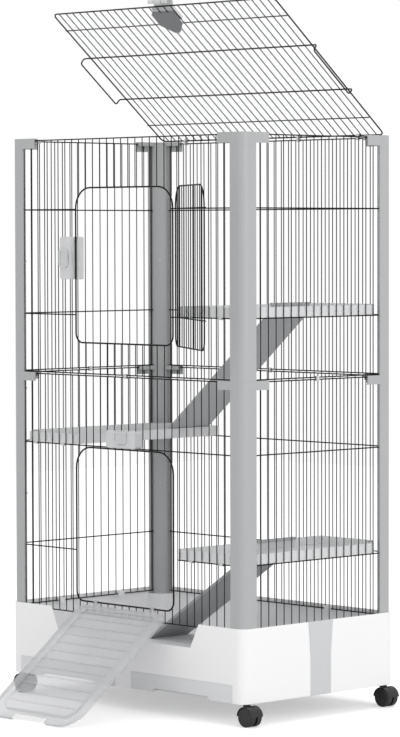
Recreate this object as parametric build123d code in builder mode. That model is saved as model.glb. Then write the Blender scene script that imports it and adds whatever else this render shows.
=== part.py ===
from build123d import *

import os
from math import asin, atan2, cos, degrees, hypot, radians, sin, sqrt, tan

# Indoor rabbit cage: two storeys of wire panels on a deep moulded base.
# Millimetres, origin on the floor under the middle of the base.
# X runs to the right along the door side, Y to the back, Z up.
# The doors face the front, which is the -Y side.

os.makedirs("parts", exist_ok=True)

# Wires
PITCH = 25.4            # spacing of the bars
BAR_R = 1.2             # upright bars
RAIL_R = 1.5            # cross rails of the panels
RING_R = 2.0            # wire round each doorway
FRAME_R = 1.8           # frame wires of the door and the lid
LIGHT_R = 1.4           # light cross wires of the lid
WIRE_SIDES = 8          # sides of a straight wire
WELD_GAP = 0.05         # between wires that are welded where they cross
RAIL_END = 0.8          # rails run past the last bar
FIT = 0.3               # clearance between pieces that move or slide in
CLIP_FIT = 0.1          # clearance of a clip or plug that is pressed on

# Panels
FRONT_BARS = 28         # bars seen between the posts on the long sides
SIDE_BARS = 16          # and on the short sides
PANEL_X = 406.5         # plane of the bars of the side panels
PANEL_Y = 247.8         # plane of the bars of the front and back panels
LOWER_Z = 220.0         # bottom rail of the lower panels
LOWER_H = 582.0         # lower panel, bottom rail to top rail
PANEL_STEP = 5.0        # from the lower panel's top rail to the upper panel's bottom rail
UPPER_H = 571.0         # upper panel, bottom rail to top rail
CROSS_1 = 171.0         # upper cross rail, below the panel's top rail
CROSS_2 = 428.0         # lower cross rail, below the panel's top rail

# Doorways
DOORWAY_W = 346.0
DOORWAY_H = 377.0
DOORWAY_TOP_R = 51.0
DOORWAY_LOW_R = 24.0
UPPER_DOORWAY_DROP = 118.5   # top of the upper doorway, below the panel's top rail
LOWER_DOORWAY_DROP = 3.3     # top of the lower doorway, below the lower panel's upper cross rail
RAIL_STOP = 8.0              # cross rails stop this far from the ring

# Clips that join the upper panels to the lower ones
JOINER_CLIP_L = 9.0

# Corner posts and their connectors
POST_W = 43.5
POST_OUT = 5.0          # from the bar plane to the post's outer face
POST_R = 20.0
POST_INNER_R = 2.5
POST_BORE_R = 13.5
POST_BORE_IN = 17.0     # bore's centre, from the post's outer faces
SLOT_D = 10.0           # depth of the groove that takes a panel's edge
SLOT_OUT = 2.0          # groove, outward of the bar plane
SLOT_IN = 5.0           # and inward of it
CAP_H = 32.0            # top connector
CAP_OVER = 5.0          # its top, above the panels' top rail
JOINER_H = 34.0         # middle connector
WING_L = 42.0           # arms of the connectors along the panels
WING_WALL = 2.5
CAP_WING_H = 30.0
JOINER_WING_H = 21.5
SPIGOT_L = 24.0

# Base
BASE_X = 830.0
BASE_Y = 514.0
BASE_R = 25.0
BASE_Z = 53.0
RIM_Z = 229.0
WALL = 3.0
POST_FOOT_Z = 212.0     # where the posts stand in the base's corners
FLOOR_Z = 128.0         # top of the floor grates
GRATE_T = 6.0
GRATE_SLOTS = 11        # slots in a row
GRATE_ROWS = 2
GRATE_SLOT_W = 9.0
GRATE_SLOT_L = 150.0
GRATE_ROW_STEP = 195.0
LEDGE_W = 12.0
LEDGE_T = 8.0
CUT_TOP_HALF = 264.0    # lowered front edge, half width at the rim
CUT_SLANT = 28.0        # how much less it is at its bottom
CUT_DEPTH = 58.0
CUT_TOP_R = 22.0
CUT_LOW_R = 9.0
BAY_HALF = 378.0        # drawer bay, from the middle to its outer side
BEAM_HALF = 28.0        # beam between the two drawers
BAY_H = 43.0
RUNNER_W = 12.0
RUNNER_T = 3.0
TAB_L = 20.0            # tabs in the base that hold the panels' bottom rails
TAB_H = 14.0
FRONT_TAB_AT = 12       # in bar pitches from the middle
BACK_TAB_AT = 8
SIDE_TAB_AT = 4

# Drawers
DRAWER_DEPTH = 488.0
DRAWER_WALL = 2.5
DRAWER_BOX_H = 34.0
GRIP_W = 190.0
GRIP_H = 9.0
GRIP_R = 4.0
GRIP_DEEP = 15.0        # finger pocket, inward from the drawer's face

# Side bands on the base
BAND_LOW_HALF = 34.0
BAND_TOP_HALF = 41.0
BAND_FLARE_H = 82.0
BAND_T = 1.2

# Casters
CASTER_X = 401.0
CASTER_Y = 232.0
TRAIL = 10.0
WHEEL_R = 23.0
WHEEL_W = 15.5
WHEEL_ROUND = 4.0
WEB_T = 6.0
HOOD_R = 25.2
HOOD_T = 1.9
AXLE_R = 3.0
STEM_R = 4.0
STEM_L = 20.0
COLLAR_R = 9.0
SOCKET_R = 12.5
SHAFT_FIT = 0.08

# Shelves
SHELF_W = 228.0
SHELF_RIM = 24.0
SHELF_WALL = 2.5
SHELF_FLOOR = 3.0
SHELF_R = 14.0
SHELF_CLEAR = 1.0       # shelf to the bars
SHELF_NOTCH = 46.0      # cut for a post at two corners
HOOK_L = 12.0
HOOK_R = 3.9
HOOK_AT = (9, 13)        # in bar pitches from the middle

# Inner ramps
INNER_RAMP_W = 132.0
INNER_RAMP_T = 7.0
UPPER_RAMP_Y = 137.0    # middle of each ramp across the cage
LOWER_RAMP_Y = 88.0
RAMP_LANDING = 30.0     # how far past a shelf's rim a ramp comes down
RAMP_SEAT_D = 0.8       # depth of the seat for its foot in the middle shelf
LOWER_RAMP_FOOT_X = -205.0

# Upper door
DOOR_OPEN = 148.0       # rest angle from shut
DOOR_SETBACK = 12.0
DOOR_BARS = 12
HINGE_WIRE_R = 1.4
HINGE_BEND_R = 2.5
HINGE_LOOP = 250.0      # degrees of the ring that a hinge wire goes round

# Slide latches
LATCH_L = 104.0         # along the ring wire
LATCH_W = 42.0          # away from it
LATCH_START = 4.0       # housing, from the ring wire's centre
LATCH_BACK = 9.0        # behind the bar plane
LATCH_FRONT = 15.0      # in front of it
LATCH_ROUND = 7.0
LATCH_WALL = 3.0
DOOR_LATCH_RISE = 206.0 # middle of the door's latch above the bottom of its doorway
LIP_W = 15.0            # lip on the doorway side of the ring
BOLT_W = 28.0
BOLT_T = 2.6
BOLT_FRONT = 12.0
BOLT_TRAVEL = 12.0
NECK_L = 16.0
NECK_W = 8.0
NECK_AT = 30.0          # neck of the knob, from the ring wire's centre
KNOB_L = 44.0
KNOB_W = 30.0
KNOB_T = 5.0
KNOB_ROUND = 5.0

# Ramp door
RAMP_HALF = 156.0
RAMP_L = 395.0
RAMP_START = 9.0
RAMP_T = 8.0
RAMP_SKIN = 2.6
RAMP_DROP = 2.6         # from the hinge wire down to the ramp's upper face
RAMP_BORDER = 30.0
RAMP_FREE_R = 58.0
RAMP_HINGE_R = 24.0
RAMP_NOTCH_W = 118.0
RAMP_NOTCH_D = 16.0
RAMP_LIFT = 0.5         # free end above the floor
RAMP_TOP_BORDER = 13.0
RIB_COUNT = 11
RIB_W = 3.0
RIB_H = 2.2
HINGE_AT = 4            # ramp hinge barrels, in bar pitches from the middle
BARREL_L = 12.0
BARREL_WALL = 2.3

# Lid
LID_OPEN = 39.65        # rest angle from shut
LID_HALF = 392.0
LID_L = 488.0
LID_R = 14.0
LID_OVER = 2.5          # hinge wire above the post tops
LID_BARS = 30
LIGHT_AT = (67.0, 430.0)
HOOP_AT = (170.0, 327.0)
HOOP_OUT = 6.0          # outside the side panels' bars
HOOP_DROP = 17.0
HOOP_BEND = 6.0
LID_CLIP_L = 10.0
LID_CLIP_AT = (4, 12)   # in bar pitches from the middle
CLIP_WALL = 2.2

# Lid latch
SHIELD_HALF = 39.0
SHIELD_BACK = 16.0      # from the lid's front wire to the shield
SHIELD_SIDE_L = 41.0    # straight part of its sides
SHIELD_TAPER_L = 29.0   # and the part that narrows to its tip
SHIELD_T = 4.5
SHIELD_TIP_HALF = 8.0
SHIELD_ROUND = 4.0
SHIELD_BEVEL = 1.5
LATCH_PLATE_T = 6.0
LATCH_PLATE_L = 34.0
BOSS_R = 3.5
LEVER_HALF = 33.0
LEVER_T = 3.0
LEVER_OPEN = 42.0       # rest angle from latched
LEVER_PIVOT_OUT = 6.0   # pin, from the plate's front edge
LEVER_PIVOT_H = 6.0     # and above the lid's frame wire
LEVER_BARREL_R = 4.0
LEVER_PIN_R = 1.5
EAR_T = 4.0
LIP_REACH = 6.0
LIP_GAP = 1.6

# Sizes that follow from the ones above
RAIL_IN = BAR_R + RAIL_R + WELD_GAP
RING_OUT = BAR_R + RING_R + WELD_GAP
EDGE_X = (FRONT_BARS + 1) / 2 * PITCH
EDGE_Y = (SIDE_BARS + 1) / 2 * PITCH
RAIL_OVERRUN = BAR_R + RAIL_END
OUTER_X = PANEL_X + POST_OUT
OUTER_Y = PANEL_Y + POST_OUT
LOWER_TOP = LOWER_Z + LOWER_H
UPPER_Z = LOWER_TOP + PANEL_STEP
UPPER_TOP = UPPER_Z + UPPER_H
POST_TOP = UPPER_TOP + CAP_OVER
CAP_Z = POST_TOP - CAP_H
JOINER_TOP = UPPER_Z - RAIL_R - FIT
JOINER_Z = JOINER_TOP - JOINER_H
LEVEL_A = UPPER_TOP - CROSS_2
LEVEL_B = LOWER_TOP - CROSS_1
LEVEL_C = LOWER_TOP - CROSS_2
RING_HALF = DOORWAY_W / 2
RING_Y = -PANEL_Y - RING_OUT
UPPER_RING_TOP = UPPER_TOP - UPPER_DOORWAY_DROP
UPPER_RING_LOW = UPPER_RING_TOP - DOORWAY_H
LOWER_RING_TOP = LEVEL_B - LOWER_DOORWAY_DROP
LOWER_RING_LOW = LOWER_RING_TOP - DOORWAY_H
GRATE_Z = FLOOR_Z - GRATE_T
LEDGE_TOP = GRATE_Z - FIT
LEDGE_Z = LEDGE_TOP - LEDGE_T
RAMP_FALL = LOWER_RING_LOW - RAMP_LIFT
RAMP_UNDER = RAMP_DROP + RAMP_T
RAMP_REACH = hypot(RAMP_L, RAMP_UNDER)
RAMP_ANGLE = degrees(asin(RAMP_FALL / RAMP_REACH) - atan2(RAMP_UNDER, RAMP_L))
LID_Z = POST_TOP + LID_OVER
LID_Y = PANEL_Y - RAIL_IN
INNER_X = BASE_X / 2 - WALL
INNER_Y = BASE_Y / 2 - WALL
CUT_LOW_HALF = CUT_TOP_HALF - CUT_SLANT
PEDESTAL = POST_W + WALL / 2
TAB_DEEP = INNER_Y - PANEL_Y + RAIL_IN + RAIL_R + WALL
SHELF_OUT_X = PANEL_X - BAR_R - SHELF_CLEAR
SHELF_OUT_Y = PANEL_Y - BAR_R - SHELF_CLEAR
SHELF_EDGE = SHELF_OUT_X - SHELF_W
SHELF_FLOOR_UP = RAIL_R + FIT + SHELF_FLOOR
RIM_UP = RAIL_R + FIT + SHELF_RIM
SHIELD_TOP = LID_L - SHIELD_BACK
SHIELD_SHOULDER = SHIELD_TOP - SHIELD_SIDE_L
SHIELD_TIP = SHIELD_SHOULDER - SHIELD_TAPER_L
LATCH_PLATE_LOW = SHIELD_TOP - LATCH_PLATE_L
BOSS_AT = SHIELD_TOP - LATCH_PLATE_L / 2
LEVER_PIVOT_S = SHIELD_TOP + LEVER_PIVOT_OUT
CORNERS = {"front_left": (-1, -1), "front_right": (1, -1), "back_left": (-1, 1), "back_right": (1, 1)}


def save(part, node):
    """Label a finished piece and write it to its file."""
    part.label = node
    export_step(part, f"parts/{node}.step")


# Wires

def upright_bars(places, low, high):
    """Add an upright bar at each x, y place between two heights."""
    with BuildSketch(Plane.XY.offset(low)) as section:
        with Locations(*places):
            RegularPolygon(BAR_R, WIRE_SIDES)
    extrude(section.sketch, amount=high - low)


def straight_wire(start, end, radius):
    """Add one straight wire between two points."""
    run = Vector(*end) - Vector(*start)
    with BuildSketch(Plane(origin=start, z_dir=run)) as section:
        RegularPolygon(radius, WIRE_SIDES)
    extrude(section.sketch, amount=run.length)


def bar_positions(count):
    """Places of a row of bars about the middle, one pitch apart."""
    return [(i - (count - 1) / 2) * PITCH for i in range(count)]


def doorway_reach(x):
    """Top and bottom of the doorway at x, measured inward from its top and its bottom."""
    rises = []
    for radius in (DOORWAY_TOP_R, DOORWAY_LOW_R):
        past = abs(x) - (RING_HALF - radius)
        rises.append(radius - sqrt(radius ** 2 - past ** 2) if past > 0 else 0.0)
    return rises


# Wire panels

def long_panel(side, low, high):
    """Back panel: bars on one plane, rails just inside them."""
    with BuildPart() as panel:
        upright_bars([(x, side * PANEL_Y) for x in bar_positions(FRONT_BARS + 2)], low, high)
        reach = EDGE_X + RAIL_OVERRUN
        for z in (low, high - CROSS_2, high - CROSS_1, high):
            y = side * (PANEL_Y - RAIL_IN)
            straight_wire((-reach, y, z), (reach, y, z), RAIL_R)
    return panel.part


def short_panel(side, low, high):
    """Side panel: bars on one plane, rails just inside them."""
    with BuildPart() as panel:
        upright_bars([(side * PANEL_X, y) for y in bar_positions(SIDE_BARS + 2)], low, high)
        reach = EDGE_Y + RAIL_OVERRUN
        for z in (low, high - CROSS_2, high - CROSS_1, high):
            x = side * (PANEL_X - RAIL_IN)
            straight_wire((x, -reach, z), (x, reach, z), RAIL_R)
    return panel.part


def front_panel(low, high, ring_low, whole_rails, split_rails):
    """Front panel: the bars stop at the doorway, and so do the rails that would cross it."""
    ring_high = ring_low + DOORWAY_H
    with BuildPart() as panel:
        places = bar_positions(FRONT_BARS + 2)
        upright_bars([(x, -PANEL_Y) for x in places if abs(x) > RING_HALF], low, high)
        for x in [x for x in places if abs(x) < RING_HALF]:
            top_in, low_in = doorway_reach(x)
            upright_bars([(x, -PANEL_Y)], low, ring_low + low_in)
            upright_bars([(x, -PANEL_Y)], ring_high - top_in, high)
        y = -PANEL_Y + RAIL_IN
        reach = EDGE_X + RAIL_OVERRUN
        for z in whole_rails:
            straight_wire((-reach, y, z), (reach, y, z), RAIL_R)
        for z in split_rails:
            for side in (-1, 1):
                straight_wire((side * (RING_HALF + RAIL_STOP), y, z), (side * reach, y, z), RAIL_R)
    return panel.part


def doorway_ring(ring_low):
    """Heavy wire bent round a doorway, with large corners at the top and small ones below."""
    ring_high = ring_low + DOORWAY_H
    corners = [(-RING_HALF, ring_low), (RING_HALF, ring_low),
               (RING_HALF, ring_high), (-RING_HALF, ring_high)]
    radii = [DOORWAY_LOW_R, DOORWAY_LOW_R, DOORWAY_TOP_R, DOORWAY_TOP_R]
    with BuildPart() as ring:
        with BuildLine(Plane(origin=(0, RING_Y, 0), x_dir=(1, 0, 0), z_dir=(0, -1, 0))) as path:
            FilletPolyline(*corners, radius=radii, close=True)
        with BuildSketch(Plane(origin=path.line @ 0, z_dir=path.line % 0)):
            Circle(RING_R)
        sweep()
    return ring.part


save(long_panel(1, LOWER_Z, LOWER_TOP), "lower_panel_back")
save(long_panel(1, UPPER_Z, UPPER_TOP), "upper_panel_back")
save(short_panel(-1, LOWER_Z, LOWER_TOP), "lower_panel_left")
save(short_panel(-1, UPPER_Z, UPPER_TOP), "upper_panel_left")
save(short_panel(1, LOWER_Z, LOWER_TOP), "lower_panel_right")
save(short_panel(1, UPPER_Z, UPPER_TOP), "upper_panel_right")
save(front_panel(LOWER_Z, LOWER_TOP, LOWER_RING_LOW, (LOWER_Z, LEVEL_B, LOWER_TOP), (LEVEL_C,)),
     "lower_panel_front")
save(front_panel(UPPER_Z, UPPER_TOP, UPPER_RING_LOW, (UPPER_Z, UPPER_TOP), (LEVEL_A, UPPER_TOP - CROSS_1)),
     "upper_panel_front")
save(doorway_ring(LOWER_RING_LOW), "lower_doorway_ring")
save(doorway_ring(UPPER_RING_LOW), "upper_doorway_ring")


# Panel joiner clips, one in the middle of each side

def rail_clip(middle, along, length, rises, bores, wall):
    """Add a clip round two parallel wires, one above the other.

    middle is a point between the wires, along the wires' direction, rises their two heights
    from it, and bores their hole radii.
    """
    end = Plane(origin=Vector(*middle) - Vector(*along) * (length / 2), x_dir=(0, 0, 1), z_dir=along)
    with BuildSketch(end) as section:
        for rise, bore in zip(rises, bores):
            with Locations((rise, 0)):
                Circle(bore + wall)
        make_hull()
        for rise, bore in zip(rises, bores):
            with Locations((rise, 0)):
                Circle(bore, mode=Mode.SUBTRACT)
    extrude(section.sketch, amount=length)


with BuildPart() as joiner_clips:
    half_step = PANEL_STEP / 2
    middle_z = LOWER_TOP + half_step
    bore = RAIL_R + CLIP_FIT
    for side in (-1, 1):
        for place, along in (((0, side * (PANEL_Y - RAIL_IN), middle_z), (1, 0, 0)),
                             ((side * (PANEL_X - RAIL_IN), 0, middle_z), (0, 1, 0))):
            rail_clip(place, along, JOINER_CLIP_L, (-half_step, half_step), (bore, bore), CLIP_WALL)
save(joiner_clips.part, "panel_joiner_clips")


# Corner posts

def post_outline(sx, sy):
    """Post outline: a square with one large outer corner."""
    middle = (sx * (OUTER_X - POST_W / 2), sy * (OUTER_Y - POST_W / 2))
    corner = (sx * OUTER_X, sy * OUTER_Y, 0)
    with BuildSketch() as outline:
        with Locations(middle):
            Rectangle(POST_W, POST_W)
        outer, *inner = outline.vertices().sort_by_distance(corner)
        fillet(outer, POST_R)
        fillet(outline.vertices().sort_by_distance(corner)[2:], POST_INNER_R)
    return outline.sketch


def panel_grooves(sx, sy, reach):
    """Two grooves that take the edges of the panels, from the post's inner faces."""
    width = SLOT_OUT + SLOT_IN
    middle_in = (SLOT_IN - SLOT_OUT) / 2
    deep = OUTER_X - POST_W + SLOT_D
    with BuildSketch(mode=Mode.PRIVATE) as grooves:
        with Locations((sx * (deep - reach / 2), sy * (PANEL_Y - middle_in))):
            Rectangle(reach, width)
        deep = OUTER_Y - POST_W + SLOT_D
        with Locations((sx * (PANEL_X - middle_in), sy * (deep - reach / 2))):
            Rectangle(width, reach)
    return grooves.sketch


def post(sx, sy, low, high):
    """Hollow post with a groove for each panel."""
    with BuildPart() as column:
        with BuildSketch(Plane.XY.offset(low)):
            add(post_outline(sx, sy))
            with Locations((sx * (OUTER_X - POST_BORE_IN), sy * (OUTER_Y - POST_BORE_IN))):
                Circle(POST_BORE_R, mode=Mode.SUBTRACT)
            add(panel_grooves(sx, sy, SLOT_D), mode=Mode.SUBTRACT)
        extrude(amount=high - low)
    return column.part


def connector(sx, sy, low, high, wing_h, groove_top, spigots):
    """Post connector with an arm along each panel and spigots that plug into the posts."""
    arm = WING_L + SLOT_D
    thick = POST_OUT + SLOT_IN + WING_WALL
    with BuildPart() as piece:
        with BuildSketch(Plane.XY.offset(low)):
            add(post_outline(sx, sy))
        extrude(amount=high - low)
        with BuildSketch(Plane.XY.offset(high - wing_h)):
            with Locations((sx * (OUTER_X - POST_W + SLOT_D - arm / 2), sy * (OUTER_Y - thick / 2))):
                Rectangle(arm, thick)
            with Locations((sx * (OUTER_X - thick / 2), sy * (OUTER_Y - POST_W + SLOT_D - arm / 2))):
                Rectangle(thick, arm)
        extrude(amount=wing_h)
        with BuildSketch(Plane.XY.offset(low)):
            add(panel_grooves(sx, sy, arm))
        extrude(amount=groove_top - low, mode=Mode.SUBTRACT)
        for start, amount in spigots:
            with BuildSketch(Plane.XY.offset(start)):
                with Locations((sx * (OUTER_X - POST_BORE_IN), sy * (OUTER_Y - POST_BORE_IN))):
                    Circle(POST_BORE_R - CLIP_FIT)
            extrude(amount=amount)
    return piece.part


for corner, (sx, sy) in CORNERS.items():
    save(post(sx, sy, POST_FOOT_Z, JOINER_Z), f"lower_post_{corner}")
    save(post(sx, sy, JOINER_TOP, CAP_Z), f"upper_post_{corner}")
    joiner = connector(sx, sy, JOINER_Z, JOINER_TOP, JOINER_WING_H, JOINER_TOP,
                       ((JOINER_Z, -SPIGOT_L), (JOINER_TOP, SPIGOT_L)))
    save(joiner, f"post_joiner_{corner}")
    cap = connector(sx, sy, CAP_Z, POST_TOP, CAP_WING_H, UPPER_TOP + RAIL_R + FIT, ((CAP_Z, -SPIGOT_L),))
    save(cap, f"post_cap_{corner}")


# Base tub

with BuildPart() as tub:
    with BuildSketch(Plane.XY.offset(BASE_Z)):
        RectangleRounded(BASE_X, BASE_Y, BASE_R)
        RectangleRounded(2 * INNER_X, 2 * INNER_Y, BASE_R - WALL, mode=Mode.SUBTRACT)
    extrude(amount=RIM_Z - BASE_Z)

    # Ledge round the inside and the beam between the drawers carry the floor grates
    with BuildSketch(Plane.XY.offset(LEDGE_Z)):
        RectangleRounded(2 * INNER_X + WALL, 2 * INNER_Y + WALL, BASE_R - WALL / 2)
        Rectangle(2 * (INNER_X - LEDGE_W), 2 * (INNER_Y - LEDGE_W), mode=Mode.SUBTRACT)
    extrude(amount=LEDGE_T)
    with BuildSketch(Plane.XY.offset(BASE_Z)):
        Rectangle(2 * BEAM_HALF, 2 * INNER_Y + WALL)
    extrude(amount=LEDGE_TOP - BASE_Z)
    with BuildSketch(Plane.XY.offset(BASE_Z)):
        Rectangle(2 * (BEAM_HALF - WALL), 2 * INNER_Y)
    extrude(amount=LEDGE_TOP - WALL - BASE_Z, mode=Mode.SUBTRACT)

    # Guides beside the drawers, and the runners that they slide on
    for side in (-1, 1):
        with BuildSketch(Plane.XY.offset(BASE_Z)):
            with Locations((side * (BAY_HALF + WALL / 2), 0)):
                Rectangle(WALL, 2 * INNER_Y + WALL)
        extrude(amount=LEDGE_Z + WALL - BASE_Z)
        with BuildSketch(Plane.XY.offset(BASE_Z)):
            with Locations(*[(side * x, WALL) for x in (BAY_HALF - RUNNER_W / 2, BEAM_HALF + RUNNER_W / 2)]):
                Rectangle(RUNNER_W, 2 * INNER_Y - WALL)
        extrude(amount=RUNNER_T)

    # Hollow pedestals that the posts stand on
    for sx, sy in CORNERS.values():
        middle = (sx * (INNER_X - PEDESTAL / 2), sy * (INNER_Y - PEDESTAL / 2))
        with BuildSketch(Plane.XY.offset(LEDGE_Z)):
            with Locations(middle):
                Rectangle(PEDESTAL + WALL / 2, PEDESTAL + WALL / 2)
            RectangleRounded(BASE_X - WALL, BASE_Y - WALL, BASE_R - WALL / 2, mode=Mode.INTERSECT)
        extrude(amount=POST_FOOT_Z - LEDGE_Z)
        with BuildSketch(Plane.XY.offset(LEDGE_Z)):
            with Locations(middle):
                RectangleRounded(PEDESTAL - 2 * WALL, PEDESTAL - 2 * WALL, BASE_R - 2 * WALL)
        extrude(amount=POST_FOOT_Z - WALL - LEDGE_Z, mode=Mode.SUBTRACT)

    # Sockets for the caster stems
    with BuildSketch(Plane.XY.offset(BASE_Z)):
        with Locations(*[(sx * CASTER_X, sy * CASTER_Y) for sx, sy in CORNERS.values()]):
            Circle(SOCKET_R)
    extrude(amount=STEM_L + WALL)
    with BuildSketch(Plane.XY.offset(BASE_Z)):
        with Locations(*[(sx * CASTER_X, sy * CASTER_Y) for sx, sy in CORNERS.values()]):
            Circle(STEM_R + SHAFT_FIT)
    extrude(amount=STEM_L + FIT, mode=Mode.SUBTRACT)

    # Drawer openings in the front wall
    bay_w = BAY_HALF - BEAM_HALF
    with BuildSketch(Plane(origin=(0, -BASE_Y / 2 - WALL, 0), x_dir=(1, 0, 0), z_dir=(0, -1, 0))):
        with Locations(*[(side * (BEAM_HALF + bay_w / 2), BASE_Z + BAY_H / 2) for side in (-1, 1)]):
            Rectangle(bay_w, BAY_H)
    extrude(amount=-3 * WALL, mode=Mode.SUBTRACT)

    # Lowered front edge
    with BuildSketch(Plane(origin=(0, -BASE_Y / 2 - WALL, 0), x_dir=(1, 0, 0), z_dir=(0, -1, 0))) as lowered:
        low = RIM_Z - CUT_DEPTH
        with BuildLine():
            Polyline((-CUT_TOP_HALF - CUT_TOP_R, RIM_Z + WALL), (-CUT_TOP_HALF - CUT_TOP_R, RIM_Z),
                     (-CUT_TOP_HALF, RIM_Z), (-CUT_LOW_HALF, low), (CUT_LOW_HALF, low),
                     (CUT_TOP_HALF, RIM_Z), (CUT_TOP_HALF + CUT_TOP_R, RIM_Z),
                     (CUT_TOP_HALF + CUT_TOP_R, RIM_Z + WALL), close=True)
        make_face()
        corners = lowered.vertices()
        fillet(corners.filter_by(lambda v: abs(v.Z - low) < FIT), CUT_LOW_R)
        at_rim = corners.filter_by(lambda v: abs(v.Z - RIM_Z) < FIT)
        fillet(at_rim.filter_by(lambda v: abs(abs(v.X) - CUT_TOP_HALF) < FIT), CUT_TOP_R)
    extrude(amount=-4 * WALL, mode=Mode.SUBTRACT)

    # Tabs that hold the bottom rails of the panels
    tab_z = LOWER_Z - TAB_H / 2
    with BuildSketch(Plane.XY.offset(tab_z)):
        with Locations(*[(sx * FRONT_TAB_AT * PITCH, -INNER_Y + TAB_DEEP / 2) for sx in (-1, 1)]):
            Rectangle(TAB_L, TAB_DEEP)
        with Locations(*[(sx * BACK_TAB_AT * PITCH, INNER_Y - TAB_DEEP / 2) for sx in (-1, 1)]):
            Rectangle(TAB_L, TAB_DEEP)
        at_side = INNER_X - TAB_DEEP / 2
        with Locations(*[(sx * at_side, sy * SIDE_TAB_AT * PITCH) for sx, sy in CORNERS.values()]):
            Rectangle(TAB_DEEP, TAB_L)
    extrude(amount=TAB_H)
    rail = RAIL_R + FIT
    for side in (-1, 1):
        with BuildSketch(Plane.YZ.offset(-EDGE_X)):
            with Locations((side * (PANEL_Y - RAIL_IN), LOWER_Z)):
                Circle(rail)
        extrude(amount=2 * EDGE_X, mode=Mode.SUBTRACT)
        with BuildSketch(Plane.XZ.offset(-EDGE_Y)):
            with Locations((side * (PANEL_X - RAIL_IN), LOWER_Z)):
                Circle(rail)
        extrude(amount=2 * EDGE_Y, mode=Mode.SUBTRACT)
save(tub.part, "base_tub")


# Floor grates over the drawers

for name, side in (("left", -1), ("right", 1)):
    with BuildPart() as grate:
        span = INNER_X - 2 * FIT
        with BuildSketch(Plane.XY.offset(GRATE_Z)):
            with Locations((side * (span / 2 + FIT), 0)):
                Rectangle(span - FIT, 2 * (INNER_Y - FIT))
            with Locations(*[(side * INNER_X, sy * INNER_Y) for sy in (-1, 1)]):
                Rectangle(2 * (PEDESTAL + WALL), 2 * (PEDESTAL + WALL), mode=Mode.SUBTRACT)
            middle = side * (BEAM_HALF + BAY_HALF) / 2
            with Locations((middle, 0)):
                with GridLocations(bay_w / (GRATE_SLOTS + 1), GRATE_ROW_STEP, GRATE_SLOTS, GRATE_ROWS):
                    Rectangle(GRATE_SLOT_W, GRATE_SLOT_L, mode=Mode.SUBTRACT)
        extrude(amount=GRATE_T)
    save(grate.part, f"floor_grate_{name}")


# Drawers

for name, side in (("left", -1), ("right", 1)):
    middle_x = side * (BEAM_HALF + BAY_HALF) / 2
    front_w = bay_w - 2 * FIT
    box_w = front_w - 2 * FIT
    front_y = -BASE_Y / 2
    with BuildPart() as drawer:
        with BuildSketch(Plane.XY.offset(BASE_Z + FIT)):
            with Locations((middle_x, front_y + WALL / 2)):
                Rectangle(front_w, WALL)
        extrude(amount=BAY_H - 2 * FIT)
        box_z = BASE_Z + RUNNER_T + FIT
        with BuildSketch(Plane.XY.offset(box_z)):
            with Locations((middle_x, front_y + DRAWER_DEPTH / 2)):
                Rectangle(box_w, DRAWER_DEPTH)
        extrude(amount=DRAWER_BOX_H)
        with BuildSketch(Plane.XY.offset(box_z + DRAWER_WALL)):
            with Locations((middle_x, front_y + WALL + (DRAWER_DEPTH - WALL - DRAWER_WALL) / 2)):
                Rectangle(box_w - 2 * DRAWER_WALL, DRAWER_DEPTH - WALL - DRAWER_WALL)
        extrude(amount=DRAWER_BOX_H, mode=Mode.SUBTRACT)
        face = Plane(origin=(middle_x, front_y, BASE_Z), x_dir=(1, 0, 0), z_dir=(0, -1, 0))
        with BuildSketch(face.offset(-WALL / 2)):
            with Locations((0, (box_z - BASE_Z + GRIP_H + DRAWER_WALL) / 2)):
                Rectangle(GRIP_W + 2 * DRAWER_WALL, BASE_Z + GRIP_H + DRAWER_WALL - box_z)
        extrude(amount=WALL / 2 - GRIP_DEEP - DRAWER_WALL)
        with BuildSketch(face) as grip:
            Rectangle(GRIP_W, 2 * GRIP_H)
            fillet(grip.vertices(), GRIP_R)
        extrude(amount=-GRIP_DEEP, mode=Mode.SUBTRACT)
    save(drawer.part, f"drawer_{name}")


# Bands up the middle of the base's short sides

for name, side in (("left", -1), ("right", 1)):
    with BuildPart() as band:
        with BuildSketch(Plane(origin=(side * BASE_X / 2, 0, 0), x_dir=(0, side, 0), z_dir=(side, 0, 0))):
            with BuildLine():
                Polyline((-BAND_LOW_HALF, BASE_Z), (BAND_LOW_HALF, BASE_Z),
                         (BAND_LOW_HALF, RIM_Z - BAND_FLARE_H), (BAND_TOP_HALF, RIM_Z),
                         (-BAND_TOP_HALF, RIM_Z), (-BAND_LOW_HALF, RIM_Z - BAND_FLARE_H), close=True)
            make_face()
        extrude(amount=BAND_T)
    save(band.part, f"base_band_{name}")


# Casters

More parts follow.
